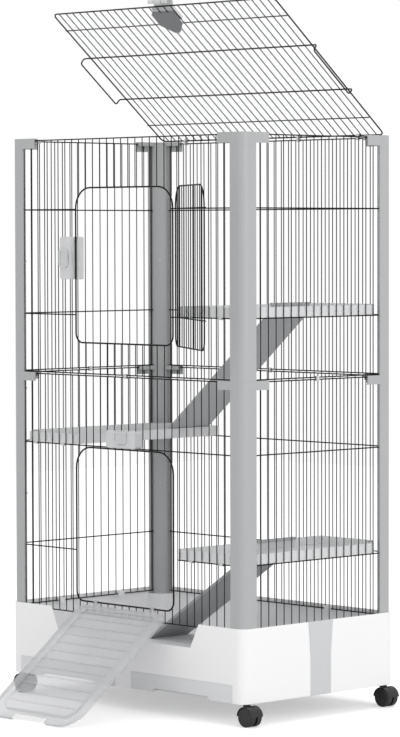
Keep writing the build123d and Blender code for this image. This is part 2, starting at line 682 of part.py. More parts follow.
def caster_frame(x, y):
    """Swivelling frame: stem, collar, web between the wheels, hood over them and axle."""
    axle = Plane(origin=(x + TRAIL, y, WHEEL_R), x_dir=(1, 0, 0), z_dir=(0, -1, 0))
    wide = WEB_T / 2 + FIT + WHEEL_W
    with BuildPart() as frame:
        with BuildSketch(axle.offset(-WEB_T / 2)):
            Circle(WHEEL_R - WHEEL_ROUND)
        extrude(amount=WEB_T)
        with BuildSketch(axle.offset(-wide)):
            Circle(HOOD_R)
            Circle(HOOD_R - HOOD_T, mode=Mode.SUBTRACT)
            with Locations((0, -WHEEL_R + HOOD_T)):
                Rectangle(4 * WHEEL_R, 2 * WHEEL_R, mode=Mode.SUBTRACT)
        extrude(amount=2 * wide)
        with BuildSketch(axle.offset(-WEB_T / 2)):
            with Locations((0, HOOD_R / 2)):
                Rectangle(WHEEL_R, HOOD_R - HOOD_T)
        extrude(amount=WEB_T)
        with BuildSketch(axle.offset(-wide)):
            Circle(AXLE_R)
        extrude(amount=2 * wide)
        with BuildSketch(Plane.XY.offset(WHEEL_R + HOOD_R - HOOD_T)):
            with Locations((x, y)):
                Circle(COLLAR_R)
        extrude(amount=BASE_Z - FIT - WHEEL_R - HOOD_R + HOOD_T)
        with BuildSketch(Plane.XY.offset(BASE_Z - HOOD_T)):
            with Locations((x, y)):
                Circle(STEM_R)
        extrude(amount=STEM_L)
    return frame.part


def caster_wheels(x, y):
    """Pair of wheels on one axle, rounded at their outer rims."""
    with BuildPart() as wheels:
        for side in (-1, 1):
            face = Plane(origin=(x + TRAIL, y + side * (WEB_T / 2 + FIT), WHEEL_R), x_dir=(1, 0, 0),
                         z_dir=(0, side, 0))
            with BuildSketch(face):
                Circle(WHEEL_R)
            extrude(amount=WHEEL_W)
            outer = wheels.edges().filter_by(GeomType.CIRCLE).sort_by(Axis.Y)
            fillet(outer[0] if side < 0 else outer[-1], WHEEL_ROUND)
            with BuildSketch(face):
                Circle(AXLE_R + SHAFT_FIT)
            extrude(amount=WHEEL_W + FIT, mode=Mode.SUBTRACT)
    return wheels.part


for corner, (sx, sy) in CORNERS.items():
    save(caster_frame(sx * CASTER_X, sy * CASTER_Y), f"caster_frame_{corner}")
    save(caster_wheels(sx * CASTER_X, sy * CASTER_Y), f"caster_wheels_{corner}")


# Shelves

def shelf(side, rail_z, foot_x=None):
    """Tray that rests on the rails, with two corners cut away for the posts.

    foot_x is where the foot of a ramp stands, which gets a shallow seat up to the tray's rim.
    """
    floor = rail_z + RAIL_R + FIT
    middle = side * (SHELF_OUT_X - SHELF_W / 2)
    cut = SHELF_NOTCH - POST_OUT
    with BuildPart() as tray:
        for inset, low, mode in ((0, floor, Mode.ADD), (SHELF_WALL, floor + SHELF_FLOOR, Mode.SUBTRACT)):
            out_x = SHELF_OUT_X - inset
            out_y = SHELF_OUT_Y - inset
            with BuildSketch(Plane.XY.offset(low)) as outline:
                with Locations((middle, 0)):
                    Rectangle(SHELF_W - 2 * inset, 2 * out_y)
                with Locations((side * out_x, out_y), (side * out_x, -out_y)):
                    Rectangle(2 * cut, 2 * cut, mode=Mode.SUBTRACT)
                fillet(outline.vertices(), SHELF_R - inset)
            extrude(amount=SHELF_RIM - (low - floor), mode=mode)
        if foot_x is not None:
            rim_x = side * (SHELF_EDGE + SHELF_WALL)
            with BuildSketch(Plane.XY.offset(floor + SHELF_FLOOR - RAMP_SEAT_D)):
                with Locations(((foot_x + rim_x) / 2, UPPER_RAMP_Y)):
                    Rectangle(abs(foot_x - rim_x), INNER_RAMP_W + 4 * FIT)
            extrude(amount=RAMP_SEAT_D, mode=Mode.SUBTRACT)
    return tray.part


SHELVES = (("top", 1, LEVEL_A), ("middle", -1, LEVEL_B), ("low", 1, LEVEL_C))
RAMP_FOOT_END = -SHELF_EDGE - RAMP_LANDING - INNER_RAMP_T
for name, side, rail_z in SHELVES:
    foot_x = RAMP_FOOT_END if name == "middle" else None
    save(shelf(side, rail_z, foot_x), f"shelf_{name}")

# Clips under the shelves that grip the front and back rails, flat where they meet the shelf
with BuildPart() as hooks:
    seat = RAIL_R + FIT
    for name, side, rail_z in SHELVES:
        for pitches in HOOK_AT:
            for sy in (-1, 1):
                start = (side * pitches * PITCH - HOOK_L / 2, sy * (PANEL_Y - RAIL_IN), rail_z)
                with BuildSketch(Plane(origin=start, x_dir=(0, 1, 0), z_dir=(1, 0, 0))):
                    Circle(HOOK_R)
                    with Locations((0, (seat - HOOK_R) / 2)):
                        Rectangle(2 * HOOK_R, HOOK_R + seat, mode=Mode.INTERSECT)
                    Circle(RAIL_R + CLIP_FIT, mode=Mode.SUBTRACT)
                extrude(amount=HOOK_L)
save(hooks.part, "shelf_hooks")


# Inner ramps

def inner_ramp(y, top_x, top_z, foot_x, foot_z):
    """Sloping plate with a lip that hooks over a shelf's rim.

    top_x and top_z are the rim's outer face and top, and foot_x, foot_z where the under side
    comes down.
    """
    lip = SHELF_WALL + 2 * FIT
    head_x = top_x - FIT
    slope = atan2(top_z - SHELF_RIM - foot_z, head_x - foot_x)
    rise = INNER_RAMP_T / cos(slope)
    with BuildPart() as ramp:
        with BuildSketch(Plane.XZ.offset(-y - INNER_RAMP_W / 2)):
            with BuildLine():
                Polyline((foot_x, foot_z), (head_x, top_z - SHELF_RIM), (head_x, top_z + FIT),
                         (head_x + lip, top_z + FIT), (head_x + lip, top_z - 2 * SHELF_WALL),
                         (head_x + lip + SHELF_WALL, top_z - 2 * SHELF_WALL),
                         (head_x + lip + SHELF_WALL, top_z + FIT + SHELF_WALL),
                         (head_x - SHELF_WALL, top_z + FIT + SHELF_WALL),
                         (head_x - SHELF_WALL, top_z - SHELF_RIM + rise - SHELF_WALL * tan(slope)),
                         (foot_x - INNER_RAMP_T * sin(slope), foot_z + INNER_RAMP_T * cos(slope)),
                         (foot_x - INNER_RAMP_T * sin(slope), foot_z), close=True)
            make_face()
        extrude(amount=INNER_RAMP_W)
    return ramp.part


landing_z = LEVEL_B + SHELF_FLOOR_UP - RAMP_SEAT_D + FIT
save(inner_ramp(UPPER_RAMP_Y, SHELF_EDGE, LEVEL_A + RIM_UP, -SHELF_EDGE - RAMP_LANDING, landing_z),
     "inner_ramp_upper")
save(inner_ramp(LOWER_RAMP_Y, SHELF_EDGE, LEVEL_C + RIM_UP, LOWER_RAMP_FOOT_X, FLOOR_Z + FIT),
     "inner_ramp_lower")


# Upper door, standing open

DOOR_HEADING = radians(180 + DOOR_OPEN)
DOOR_ALONG = Vector(cos(DOOR_HEADING), sin(DOOR_HEADING), 0)
DOOR_HINGE = Plane(origin=(RING_HALF, RING_Y, 0), x_dir=DOOR_ALONG, z_dir=(0, 0, 1))
DOOR_FRAME_Y = RING_R + FRAME_R + FIT


def corner_drop(inset, radius):
    """How far a bar stops short of a frame whose corner is rounded, at inset from its side."""
    past = radius - inset
    return radius - sqrt(radius ** 2 - past ** 2) if past > 0 else 0.0


with BuildPart() as door:
    face = Plane(origin=DOOR_HINGE.from_local_coords((0, DOOR_FRAME_Y, 0)), x_dir=DOOR_ALONG,
                 z_dir=DOOR_ALONG.cross(Vector(0, 0, 1)))
    outline = [(DOOR_SETBACK, UPPER_RING_LOW), (DOORWAY_W, UPPER_RING_LOW),
               (DOORWAY_W, UPPER_RING_TOP), (DOOR_SETBACK, UPPER_RING_TOP)]
    with BuildLine(face) as frame_path:
        FilletPolyline(*outline, radius=2 * [DOORWAY_LOW_R] + 2 * [DOORWAY_TOP_R], close=True)
    with BuildSketch(Plane(origin=frame_path.line @ 0, z_dir=frame_path.line % 0)):
        Circle(FRAME_R)
    sweep()
    step = (DOORWAY_W - DOOR_SETBACK) / (DOOR_BARS + 1)
    for i in range(1, DOOR_BARS + 1):
        inset = min(i, DOOR_BARS + 1 - i) * step
        x = DOOR_SETBACK + i * step
        low = UPPER_RING_LOW + corner_drop(inset, DOORWAY_LOW_R) + FRAME_R + WELD_GAP
        high = UPPER_RING_TOP - corner_drop(inset, DOORWAY_TOP_R) - FRAME_R - WELD_GAP
        straight_wire(DOOR_HINGE.from_local_coords((x, DOOR_FRAME_Y, low)),
                      DOOR_HINGE.from_local_coords((x, DOOR_FRAME_Y, high)), BAR_R)
    cross_y = DOOR_FRAME_Y + FRAME_R + HINGE_WIRE_R + WELD_GAP
    loop_r = RING_R + FIT + HINGE_WIRE_R
    for z in (LEVEL_A, UPPER_TOP - CROSS_1):
        with BuildLine(DOOR_HINGE.offset(z)) as wire_path:
            FilletPolyline((DOORWAY_W, cross_y), (DOOR_SETBACK - HINGE_BEND_R, cross_y),
                           (loop_r + HINGE_WIRE_R / 2, loop_r), (0, loop_r), radius=HINGE_BEND_R)
            CenterArc((0, 0), loop_r, 90, HINGE_LOOP)
        with BuildSketch(Plane(origin=wire_path.line @ 0, z_dir=wire_path.line % 0)):
            Circle(HINGE_WIRE_R)
        sweep()
save(door.part, "upper_door")


# Slide latches of the door and of the ramp

def latch_housing(seat, bars, bar_along, rail, lip):
    """Housing beside a doorway ring, with a channel for the bolt and holes for the wires.

    seat lies on the bar plane at the ring wire, X along the wire, Y away from the doorway and
    Z outward. bars are the places of the bars through the housing, along the wire or across
    it, rail is the distance of a cross rail along the wire, or None.
    """
    half_l = LATCH_L / 2
    middle = LATCH_START + LATCH_W / 2
    channel_low = BOLT_FRONT - BOLT_T - FIT
    with BuildPart() as housing:
        with BuildSketch(seat.offset(-LATCH_BACK)):
            with Locations((0, middle)):
                RectangleRounded(LATCH_L, LATCH_W, LATCH_ROUND)
        extrude(amount=LATCH_BACK + LATCH_FRONT)
        if lip:
            with BuildSketch(seat.offset(-LATCH_BACK)):
                with Locations((0, (LATCH_START + LATCH_ROUND - LIP_W) / 2)):
                    RectangleRounded(LATCH_L, LIP_W + LATCH_START + LATCH_ROUND, LATCH_ROUND / 2)
            extrude(amount=LATCH_BACK + RING_OUT - RING_R - FIT)
        with BuildSketch(seat.offset(channel_low)):
            with Locations((0, middle - LATCH_WALL)):
                Rectangle(BOLT_W + 2 * FIT, LATCH_W)
        extrude(amount=BOLT_T + 2 * FIT, mode=Mode.SUBTRACT)
        with BuildSketch(seat.offset(BOLT_FRONT)):
            with Locations((0, NECK_AT - BOLT_TRAVEL / 2)):
                Rectangle(NECK_L + 2 * FIT, NECK_W + BOLT_TRAVEL + 2 * FIT)
        extrude(amount=LATCH_FRONT, mode=Mode.SUBTRACT)
        along = Plane(origin=seat.from_local_coords((-half_l, 0, 0)), x_dir=seat.y_dir, z_dir=seat.x_dir)
        across = Plane(origin=seat.origin, x_dir=seat.z_dir, z_dir=seat.y_dir)
        hole = BAR_R + FIT
        for place in bars:
            if bar_along:
                with BuildSketch(along):
                    with Locations((place, 0)):
                        Circle(hole)
                extrude(amount=LATCH_L, mode=Mode.SUBTRACT)
            else:
                with BuildSketch(across):
                    with Locations((0, place)):
                        Circle(hole)
                extrude(amount=2 * LATCH_W, mode=Mode.SUBTRACT)
        if rail is not None:
            with BuildSketch(along):
                with Locations((rail, -RAIL_IN)):
                    Rectangle(2 * (RAIL_R + FIT), 2 * (RAIL_R + FIT))
            extrude(amount=LATCH_L, mode=Mode.SUBTRACT)
    return housing.part


def latch_bolt(seat):
    """Sliding bolt with its knob, drawn back."""
    with BuildPart() as bolt:
        with BuildSketch(seat.offset(BOLT_FRONT - BOLT_T)):
            length = LATCH_W - LATCH_WALL - 2 * FIT
            with Locations((0, LATCH_START + length / 2)):
                Rectangle(BOLT_W, length)
        extrude(amount=BOLT_T)
        with BuildSketch(seat.offset(BOLT_FRONT - BOLT_T)):
            with Locations((0, NECK_AT)):
                Rectangle(NECK_L, NECK_W)
        extrude(amount=BOLT_T + LATCH_FRONT - BOLT_FRONT + 2 * FIT)
        with BuildSketch(seat.offset(LATCH_FRONT + FIT)):
            with Locations((0, NECK_AT)):
                RectangleRounded(KNOB_L, KNOB_W, KNOB_ROUND)
        extrude(amount=KNOB_T)
        with BuildSketch(seat.offset(LATCH_FRONT + FIT + KNOB_T)):
            with Locations((0, NECK_AT)):
                RectangleRounded(KNOB_L - 2 * KNOB_ROUND, KNOB_W - 2 * KNOB_ROUND, KNOB_ROUND / 2)
        extrude(amount=-KNOB_T / 2, mode=Mode.SUBTRACT)
    return bolt.part


door_latch_z = UPPER_RING_LOW + DOOR_LATCH_RISE
door_seat = Plane(origin=(-RING_HALF, -PANEL_Y, door_latch_z), x_dir=(0, 0, 1), z_dir=(0, -1, 0))
ramp_seat = Plane(origin=(0, -PANEL_Y, LOWER_RING_TOP), x_dir=(1, 0, 0), z_dir=(0, -1, 0))
from_ring = [-x - RING_HALF for x in bar_positions(FRONT_BARS)]
beside = [u for u in from_ring if LATCH_START < u < LATCH_START + LATCH_W]
above = [x for x in bar_positions(FRONT_BARS) if abs(x) < LATCH_L / 2]
save(latch_housing(door_seat, beside, True, None, True), "door_latch_housing")
save(latch_bolt(door_seat), "door_latch_bolt")
save(latch_housing(ramp_seat, above, False, LOWER_DOORWAY_DROP, False), "ramp_latch_housing")
save(latch_bolt(ramp_seat), "ramp_latch_bolt")


# Ramp door, let down to the floor

SLOPE = radians(RAMP_ANGLE)
RAMP_DOWN = Vector(0, -cos(SLOPE), -sin(SLOPE))
RAMP = Plane(origin=(0, RING_Y, LOWER_RING_LOW), x_dir=(-1, 0, 0), z_dir=(0, -sin(SLOPE), cos(SLOPE)))


def ramp_outline(side_in, start, end, near_r, far_r):
    """Rounded outline in the ramp's plane, side_in in from its edges."""
    with BuildSketch(mode=Mode.PRIVATE) as outline:
        with Locations((0, (start + end) / 2)):
            Rectangle(2 * (RAMP_HALF - side_in), end - start)
        near = outline.vertices().sort_by(Axis.Y)[:2]
        fillet(near, near_r)
        fillet(outline.vertices().sort_by(Axis.Y)[-2:], far_r)
    return outline.sketch


with BuildPart() as ramp_door:
    recess_d = RAMP_T - RAMP_SKIN
    recess_start = RAMP_START + RAMP_TOP_BORDER
    recess_end = RAMP_L - RAMP_BORDER
    recess_r = RAMP_FREE_R - RAMP_BORDER
    with BuildSketch(RAMP.offset(-RAMP_DROP)):
        add(ramp_outline(0, RAMP_START, RAMP_L, RAMP_HINGE_R, RAMP_FREE_R))
    extrude(amount=-RAMP_T)
    with BuildSketch(RAMP.offset(-RAMP_DROP)):
        add(ramp_outline(RAMP_BORDER, recess_start, recess_end, RAMP_TOP_BORDER, recess_r))
    extrude(amount=-recess_d, mode=Mode.SUBTRACT)
    with BuildSketch(RAMP.offset(-RAMP_UNDER)):
        add(ramp_outline(RAMP_SKIN, RAMP_START + RAMP_SKIN, RAMP_L - RAMP_SKIN, RAMP_HINGE_R - RAMP_SKIN,
                         RAMP_FREE_R - RAMP_SKIN))
        add(ramp_outline(RAMP_BORDER - RAMP_SKIN, recess_start - RAMP_SKIN, recess_end + RAMP_SKIN,
                         RAMP_TOP_BORDER + RAMP_SKIN, recess_r + RAMP_SKIN), mode=Mode.SUBTRACT)
    extrude(amount=recess_d, mode=Mode.SUBTRACT)
    with BuildSketch(RAMP.offset(-RAMP_DROP)):
        with Locations((0, RAMP_L)):
            Rectangle(RAMP_NOTCH_W, 2 * RAMP_NOTCH_D)
    extrude(amount=-RAMP_T, mode=Mode.SUBTRACT)
    rib_step = (recess_end - recess_start) / (RIB_COUNT + 1)
    with BuildSketch(RAMP.offset(-RAMP_DROP - recess_d)):
        with Locations(*[(0, recess_start + i * rib_step) for i in range(1, RIB_COUNT)]):
            Rectangle(2 * (RAMP_HALF - RAMP_BORDER), RIB_W)
        with Locations((0, recess_start + RIB_COUNT * rib_step)):
            Rectangle(2 * (RAMP_HALF - RAMP_BORDER) - recess_r, RIB_W)
    extrude(amount=RIB_H)
    barrel_r = RING_R + FIT + BARREL_WALL
    for side in (-1, 1):
        end_x = side * HINGE_AT * PITCH + BARREL_L / 2
        end = Plane(origin=(end_x, RING_Y, LOWER_RING_LOW), x_dir=RAMP_DOWN, z_dir=(-1, 0, 0))
        with BuildSketch(end):
            Circle(barrel_r)
            with Locations((RAMP_START + RAMP_SKIN / 2, -RAMP_DROP - RAMP_SKIN)):
                Circle(RAMP_SKIN / 2)
            make_hull()
        extrude(amount=BARREL_L)
        with BuildSketch(end):
            Circle(RING_R + FIT)
        extrude(amount=BARREL_L, mode=Mode.SUBTRACT)
save(ramp_door.part, "ramp_door")


# Lid, standing open

TILT = radians(LID_OPEN)
LID = Plane(origin=(0, LID_Y, LID_Z), x_dir=(-1, 0, 0), z_dir=(0, sin(TILT), cos(TILT)))


def on_lid(x, along, rise):
    """Point on the lid, from the middle of its hinge wire."""
    return LID.from_local_coords((x, along, rise))


with BuildPart() as lid:
    with BuildLine(LID) as rim_path:
        FilletPolyline((-LID_HALF, 0), (LID_HALF, 0), (LID_HALF, LID_L), (-LID_HALF, LID_L),
                       radius=LID_R, close=True)
    with BuildSketch(Plane(origin=rim_path.line @ 0, z_dir=rim_path.line % 0)):
        Circle(FRAME_R)
    sweep()
    end = FRAME_R + WELD_GAP
    for x in bar_positions(LID_BARS):
        straight_wire(on_lid(x, end, BAR_R - FRAME_R), on_lid(x, LID_L - end, BAR_R - FRAME_R), BAR_R)
    for along in LIGHT_AT:
        rise = -FRAME_R - LIGHT_R - WELD_GAP
        straight_wire(on_lid(-LID_HALF, along, rise), on_lid(LID_HALF, along, rise), LIGHT_R)
save(lid.part, "lid_grille")

with BuildPart() as hoops:
    out = PANEL_X + HOOP_OUT
    high = -2 * FRAME_R - WELD_GAP
    low = high - HOOP_DROP
    near, far = HOOP_AT
    turn = [(-out, near, high), (out, near, high), (out, near, low), (out, far, low),
            (out, far, high), (-out, far, high), (-out, far, low), (-out, near, low)]
    with BuildLine() as hoop_path:
        FilletPolyline(*[on_lid(*place) for place in turn], radius=HOOP_BEND, close=True)
    with BuildSketch(Plane(origin=hoop_path.line @ 0, z_dir=hoop_path.line % 0)):
        Circle(FRAME_R)
    sweep()
save(hoops.part, "lid_hoops")

with BuildPart() as lid_clips:
    half_rise = (LID_Z - UPPER_TOP) / 2
    for pitches in LID_CLIP_AT:
        for side in (-1, 1):
            rail_clip((side * pitches * PITCH, LID_Y, UPPER_TOP + half_rise), (1, 0, 0), LID_CLIP_L,
                      (-half_rise, half_rise), (RAIL_R + CLIP_FIT, FRAME_R + FIT), CLIP_WALL)
save(lid_clips.part, "lid_hinge_clips")


# Lid latch

SHIELD_RISE = -FRAME_R - 2 * LIGHT_R - WELD_GAP - FIT
PLATE_RISE = 2 * BAR_R - FRAME_R + FIT
LID_END = Plane(origin=LID.origin, x_dir=LID.y_dir, z_dir=LID.x_dir)

with BuildPart() as shield:
    with BuildSketch(LID.offset(SHIELD_RISE)) as outline:
        with BuildLine():
            Polyline((-SHIELD_HALF, SHIELD_TOP), (SHIELD_HALF, SHIELD_TOP), (SHIELD_HALF, SHIELD_SHOULDER),
                     (SHIELD_TIP_HALF, SHIELD_TIP), (-SHIELD_TIP_HALF, SHIELD_TIP),
                     (-SHIELD_HALF, SHIELD_SHOULDER), close=True)
        make_face()
        fillet(outline.vertices(), SHIELD_ROUND)
    extrude(amount=-SHIELD_T)
    under = shield.faces().filter_by(Plane(origin=(0, 0, 0), z_dir=LID.z_dir)).sort_by(Axis.Z)[0]
    chamfer(under.edges(), SHIELD_BEVEL)
save(shield.part, "lid_latch_shield")

with BuildPart() as latch_base:
    with BuildSketch(LID.offset(PLATE_RISE)):
        with Locations((0, (LATCH_PLATE_LOW + SHIELD_TOP) / 2)):
            RectangleRounded(2 * SHIELD_HALF, SHIELD_TOP - LATCH_PLATE_LOW, SHIELD_ROUND)
    extrude(amount=LATCH_PLATE_T)
    with BuildSketch(LID.offset(SHIELD_RISE)):
        with Locations(*[(i * PITCH, BOSS_AT) for i in (-1, 0, 1)]):
            Circle(BOSS_R)
    extrude(amount=PLATE_RISE - SHIELD_RISE)
    ear_inner = LEVER_HALF + FIT
    for start in (-ear_inner - EAR_T, ear_inner):
        with BuildSketch(LID_END.offset(start)):
            with Locations((LEVER_PIVOT_S, LEVER_PIVOT_H)):
                Circle(LEVER_BARREL_R)
            with Locations((SHIELD_TOP - LEVER_BARREL_R, PLATE_RISE + LATCH_PLATE_T / 2)):
                Rectangle(LEVER_BARREL_R, LATCH_PLATE_T)
            make_hull()
        extrude(amount=EAR_T)
    with BuildSketch(LID_END.offset(-ear_inner - EAR_T)):
        with Locations((LEVER_PIVOT_S, LEVER_PIVOT_H)):
            Circle(LEVER_PIN_R)
    extrude(amount=2 * (ear_inner + EAR_T))
save(latch_base.part, "lid_latch_base")

# Lever swung open about its pin, X along its arm and Y away from the lid
SWING = radians(LEVER_OPEN)
ARM_ALONG = LID.y_dir * cos(SWING) + LID.z_dir * sin(SWING)
LEVER = Plane(origin=on_lid(0, LEVER_PIVOT_S, LEVER_PIVOT_H), x_dir=ARM_ALONG, z_dir=LID.x_dir)
FRONT_BAR_S = LID_Y + PANEL_Y + BAR_R - LEVER_PIVOT_S
HOOK_RISE = UPPER_TOP - RAIL_R - LID_Z - LEVER_PIVOT_H
with BuildPart() as lever:
    plate_s = FRONT_BAR_S + 3 * FIT
    lip_top = HOOK_RISE - 2 * FIT
    arm_low = LEVER_BARREL_R - LEVER_T
    with BuildSketch(LEVER.offset(-LEVER_HALF)):
        Circle(LEVER_BARREL_R)
        with Locations((0, arm_low)):
            Rectangle(plate_s + LEVER_T, LEVER_T, align=(Align.MIN, Align.MIN))
        with Locations((plate_s, lip_top - LEVER_T)):
            Rectangle(LEVER_T, LEVER_BARREL_R + LEVER_T - lip_top, align=(Align.MIN, Align.MIN))
        Circle(LEVER_PIN_R + SHAFT_FIT, mode=Mode.SUBTRACT)
    extrude(amount=2 * LEVER_HALF)
    with BuildSketch(LEVER.offset(-LEVER_HALF)):
        with Locations((plate_s - LIP_REACH, lip_top - LEVER_T)):
            Rectangle(LIP_REACH + LEVER_T / 2, LEVER_T, align=(Align.MIN, Align.MIN))
    extrude(amount=2 * LEVER_HALF)
    for side in (-1, 1):
        gap = BAR_R + LIP_GAP
        with BuildSketch(LEVER.offset(side * PITCH / 2 - gap)):
            with Locations((plate_s - LIP_REACH, lip_top - LEVER_T)):
                Rectangle(LIP_REACH, LEVER_T, align=(Align.MIN, Align.MIN))
        extrude(amount=2 * gap, mode=Mode.SUBTRACT)
save(lever.part, "lid_latch_lever")
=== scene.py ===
"""Indoor rabbit cage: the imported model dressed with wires, mouldings and finishes."""
import logging
from collections.abc import Iterable
from dataclasses import dataclass, field
from enum import Enum
from math import cos, pi, radians, sin, sqrt

import bmesh
import bpy
from mathutils import Matrix, Vector


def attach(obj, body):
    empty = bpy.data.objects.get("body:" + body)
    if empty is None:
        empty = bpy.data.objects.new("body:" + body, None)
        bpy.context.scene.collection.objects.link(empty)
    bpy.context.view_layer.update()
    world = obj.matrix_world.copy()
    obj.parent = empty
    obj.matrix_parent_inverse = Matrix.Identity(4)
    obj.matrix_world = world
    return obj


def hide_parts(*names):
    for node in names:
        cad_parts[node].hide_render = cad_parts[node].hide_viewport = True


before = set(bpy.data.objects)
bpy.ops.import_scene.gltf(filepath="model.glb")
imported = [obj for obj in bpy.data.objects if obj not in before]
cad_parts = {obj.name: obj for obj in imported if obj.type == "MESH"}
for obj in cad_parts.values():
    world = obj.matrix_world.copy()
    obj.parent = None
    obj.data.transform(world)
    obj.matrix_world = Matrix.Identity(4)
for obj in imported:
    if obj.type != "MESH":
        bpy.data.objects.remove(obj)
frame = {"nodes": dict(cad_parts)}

LOG = logging.getLogger("rabbit_cage")
MM = 0.001
Point = tuple[float, float, float]
Pair = tuple[float, float]
Shade = tuple[float, ...]
Layer = tuple[list[Pair], float, float]

# Display levels and the light that they stand for
FULL_LEVEL = 255
TOE_END = 0.04045
TOE_SLOPE = 12.92
CURVE_SHIFT = 0.055
CURVE_POWER = 2.4

# Detail of noises and meshes
FEW_OCTAVES = 2.0
SOME_OCTAVES = 3.0
MANY_OCTAVES = 4.0
BEVEL_SAMPLES = 6
BEND_STEPS = 8
THIN_SIDES = 12
THICK_SIDES = 16
SHARP_WIRE = 40
SHARP_MOULDING = 30
NEVER_SHARP = 180


def linear(level: float) -> float:
    """Turn a display level into scene light.

    Args:
        level: The display level, from 0 to 1.

    Returns:
        The light.
    """
    if level <= TOE_END:
        return level / TOE_SLOPE
    return ((level + CURVE_SHIFT) / (1 + CURVE_SHIFT)) ** CURVE_POWER


def tone(red: float, green: float, blue: float) -> Shade:
    """Turn display levels from 0 to 255 into a scene colour."""
    return linear(red / FULL_LEVEL), linear(green / FULL_LEVEL), linear(blue / FULL_LEVEL), 1.0


def shaded(colour: Shade, factor: float) -> Shade:
    """Return a colour made lighter or darker by a factor."""
    return tuple(min(1.0, part * factor) for part in colour[:3]) + (1.0,)


def grey(level: float) -> Shade:
    """Return a grey of that much scene light."""
    return level, level, level, 1.0


# Node trees

class Signal:
    """A socket of a node tree that takes part in Python arithmetic."""

    def __init__(self, tree: "Tree", socket: bpy.types.NodeSocket) -> None:
        """Keep the tree and the socket that the value comes from."""
        self.tree = tree
        self.socket = socket

    def _math(self, operation: str, first: "Signal | float", second: "Signal | float") -> "Signal":
        """Return the result of one Math node."""
        return self.tree.signal("ShaderNodeMath", {"operation": operation}, {0: first, 1: second})

    def __add__(self, other: "Signal | float") -> "Signal":
        """Return self + other."""
        return self._math("ADD", self, other)

    def __radd__(self, other: float) -> "Signal":
        """Return other + self."""
        return self._math("ADD", other, self)

    def __sub__(self, other: "Signal | float") -> "Signal":
        """Return self - other."""
        return self._math("SUBTRACT", self, other)

    def __mul__(self, other: "Signal | float") -> "Signal":
        """Return self * other."""
        return self._math("MULTIPLY", self, other)

    def __rmul__(self, other: float) -> "Signal":
        """Return other * self."""
        return self._math("MULTIPLY", other, self)


class Tree:
    """A node tree with one method that makes any node."""

    def __init__(self, nodes: bpy.types.NodeTree) -> None:
        """Keep the tree that nodes are added to."""
        self.nodes = nodes

    def node(self, kind: str, settings: dict | None = None, inputs: dict | None = None) -> bpy.types.Node:
        """Make one node, with its settings first and its sockets after them.

        Args:
            kind: The node's type.
            settings: Properties by name.
            inputs: Values, sockets, nodes or signals by the input's name or number.

        Returns:
            The node.
        """
        made = self.nodes.nodes.new(kind)
        for key, value in (settings or {}).items():
            setattr(made, key, value)
        for key, value in (inputs or {}).items():
            self.feed(made.inputs[key], value)
        return made

    def signal(self, kind: str, settings: dict | None = None, inputs: dict | None = None,
               output: str | int = 0) -> Signal:
        """Make one node and return one of its outputs, given by name or number, as a signal."""
        return Signal(self, self.node(kind, settings, inputs).outputs[output])

    def feed(self, socket: bpy.types.NodeSocket, value: object) -> None:
        """Link or set one input.

        Args:
            socket: The input.
            value: A signal, a node, a socket or a plain value.
        """
        if isinstance(value, Signal):
            value = value.socket
        if isinstance(value, bpy.types.Node):
            value = value.outputs[0]
        if isinstance(value, bpy.types.NodeSocket):
            self.nodes.links.new(value, socket)
        else:
            socket.default_value = value


class Paint(Tree):
    """The node tree of one material, with the steps that the finishes share."""

    def __init__(self, name: str) -> None:
        """Make an empty material.

        Args:
            name: The material's name.
        """
        self.material = bpy.data.materials.new(name)
        self.material.use_nodes = True
        super().__init__(self.material.node_tree)
        self.nodes.nodes.clear()
        self.place = self.node("ShaderNodeTexCoord").outputs["Object"]

    def noise(self, scale: float, detail: float = FEW_OCTAVES, stretch: Point = (1, 1, 1)) -> Signal:
        """Return noise from 0 to 1 over the object.

        Args:
            scale: Its cells in a metre.
            detail: Its octaves.
            stretch: How many times finer it is along X, Y and Z.

        Returns:
            The noise.
        """
        place = self.node("ShaderNodeMapping", None, {"Vector": self.place, "Scale": stretch})
        inputs = {"Vector": place, "Scale": scale, "Detail": detail}
        return self.signal("ShaderNodeTexNoise", None, inputs, "Fac")

    def blend(self, share: Signal, low: Shade, high: Shade) -> Signal:
        """Return a colour that goes from low to high as the share goes from 0 to 1."""
        mix = self.node("ShaderNodeMix", {"data_type": "RGBA"}, {0: share, 6: low, 7: high})
        return Signal(self, mix.outputs[2])

    def soft_edges(self, radius: float) -> bpy.types.Node:
        """Return a normal that rounds the edges of a moulding."""
        return self.node("ShaderNodeBevel", {"samples": BEVEL_SAMPLES}, {"Radius": radius})

    def bump(self, height: Signal, distance: float, under: bpy.types.Node | None = None) -> bpy.types.Node:
        """Return the normal of a bumpy surface.

        Args:
            height: The bumps, from 0 to 1.
            distance: Their height in metres.
            under: A normal that they lie on.

        Returns:
            The Bump node.
        """
        inputs = {"Height": height, "Distance": distance, "Strength": 1.0}
        if under is not None:
            inputs["Normal"] = under
        return self.node("ShaderNodeBump", None, inputs)

    def finish(self, inputs: dict) -> bpy.types.Material:
        """Close the tree with a Principled shader.

        Args:
            inputs: The shader's inputs by name.

        Returns:
            The material.
        """
        shader = self.node("ShaderNodeBsdfPrincipled", None, inputs)
        self.node("ShaderNodeOutputMaterial", None, {"Surface": shader})
        return self.material


def swayed(base: Signal | float, spread: float, noise: Signal) -> Signal:
    """Return a value that a noise from 0 to 1 moves by half a spread either way."""
    return (noise - 0.5) * spread + base


# Finishes

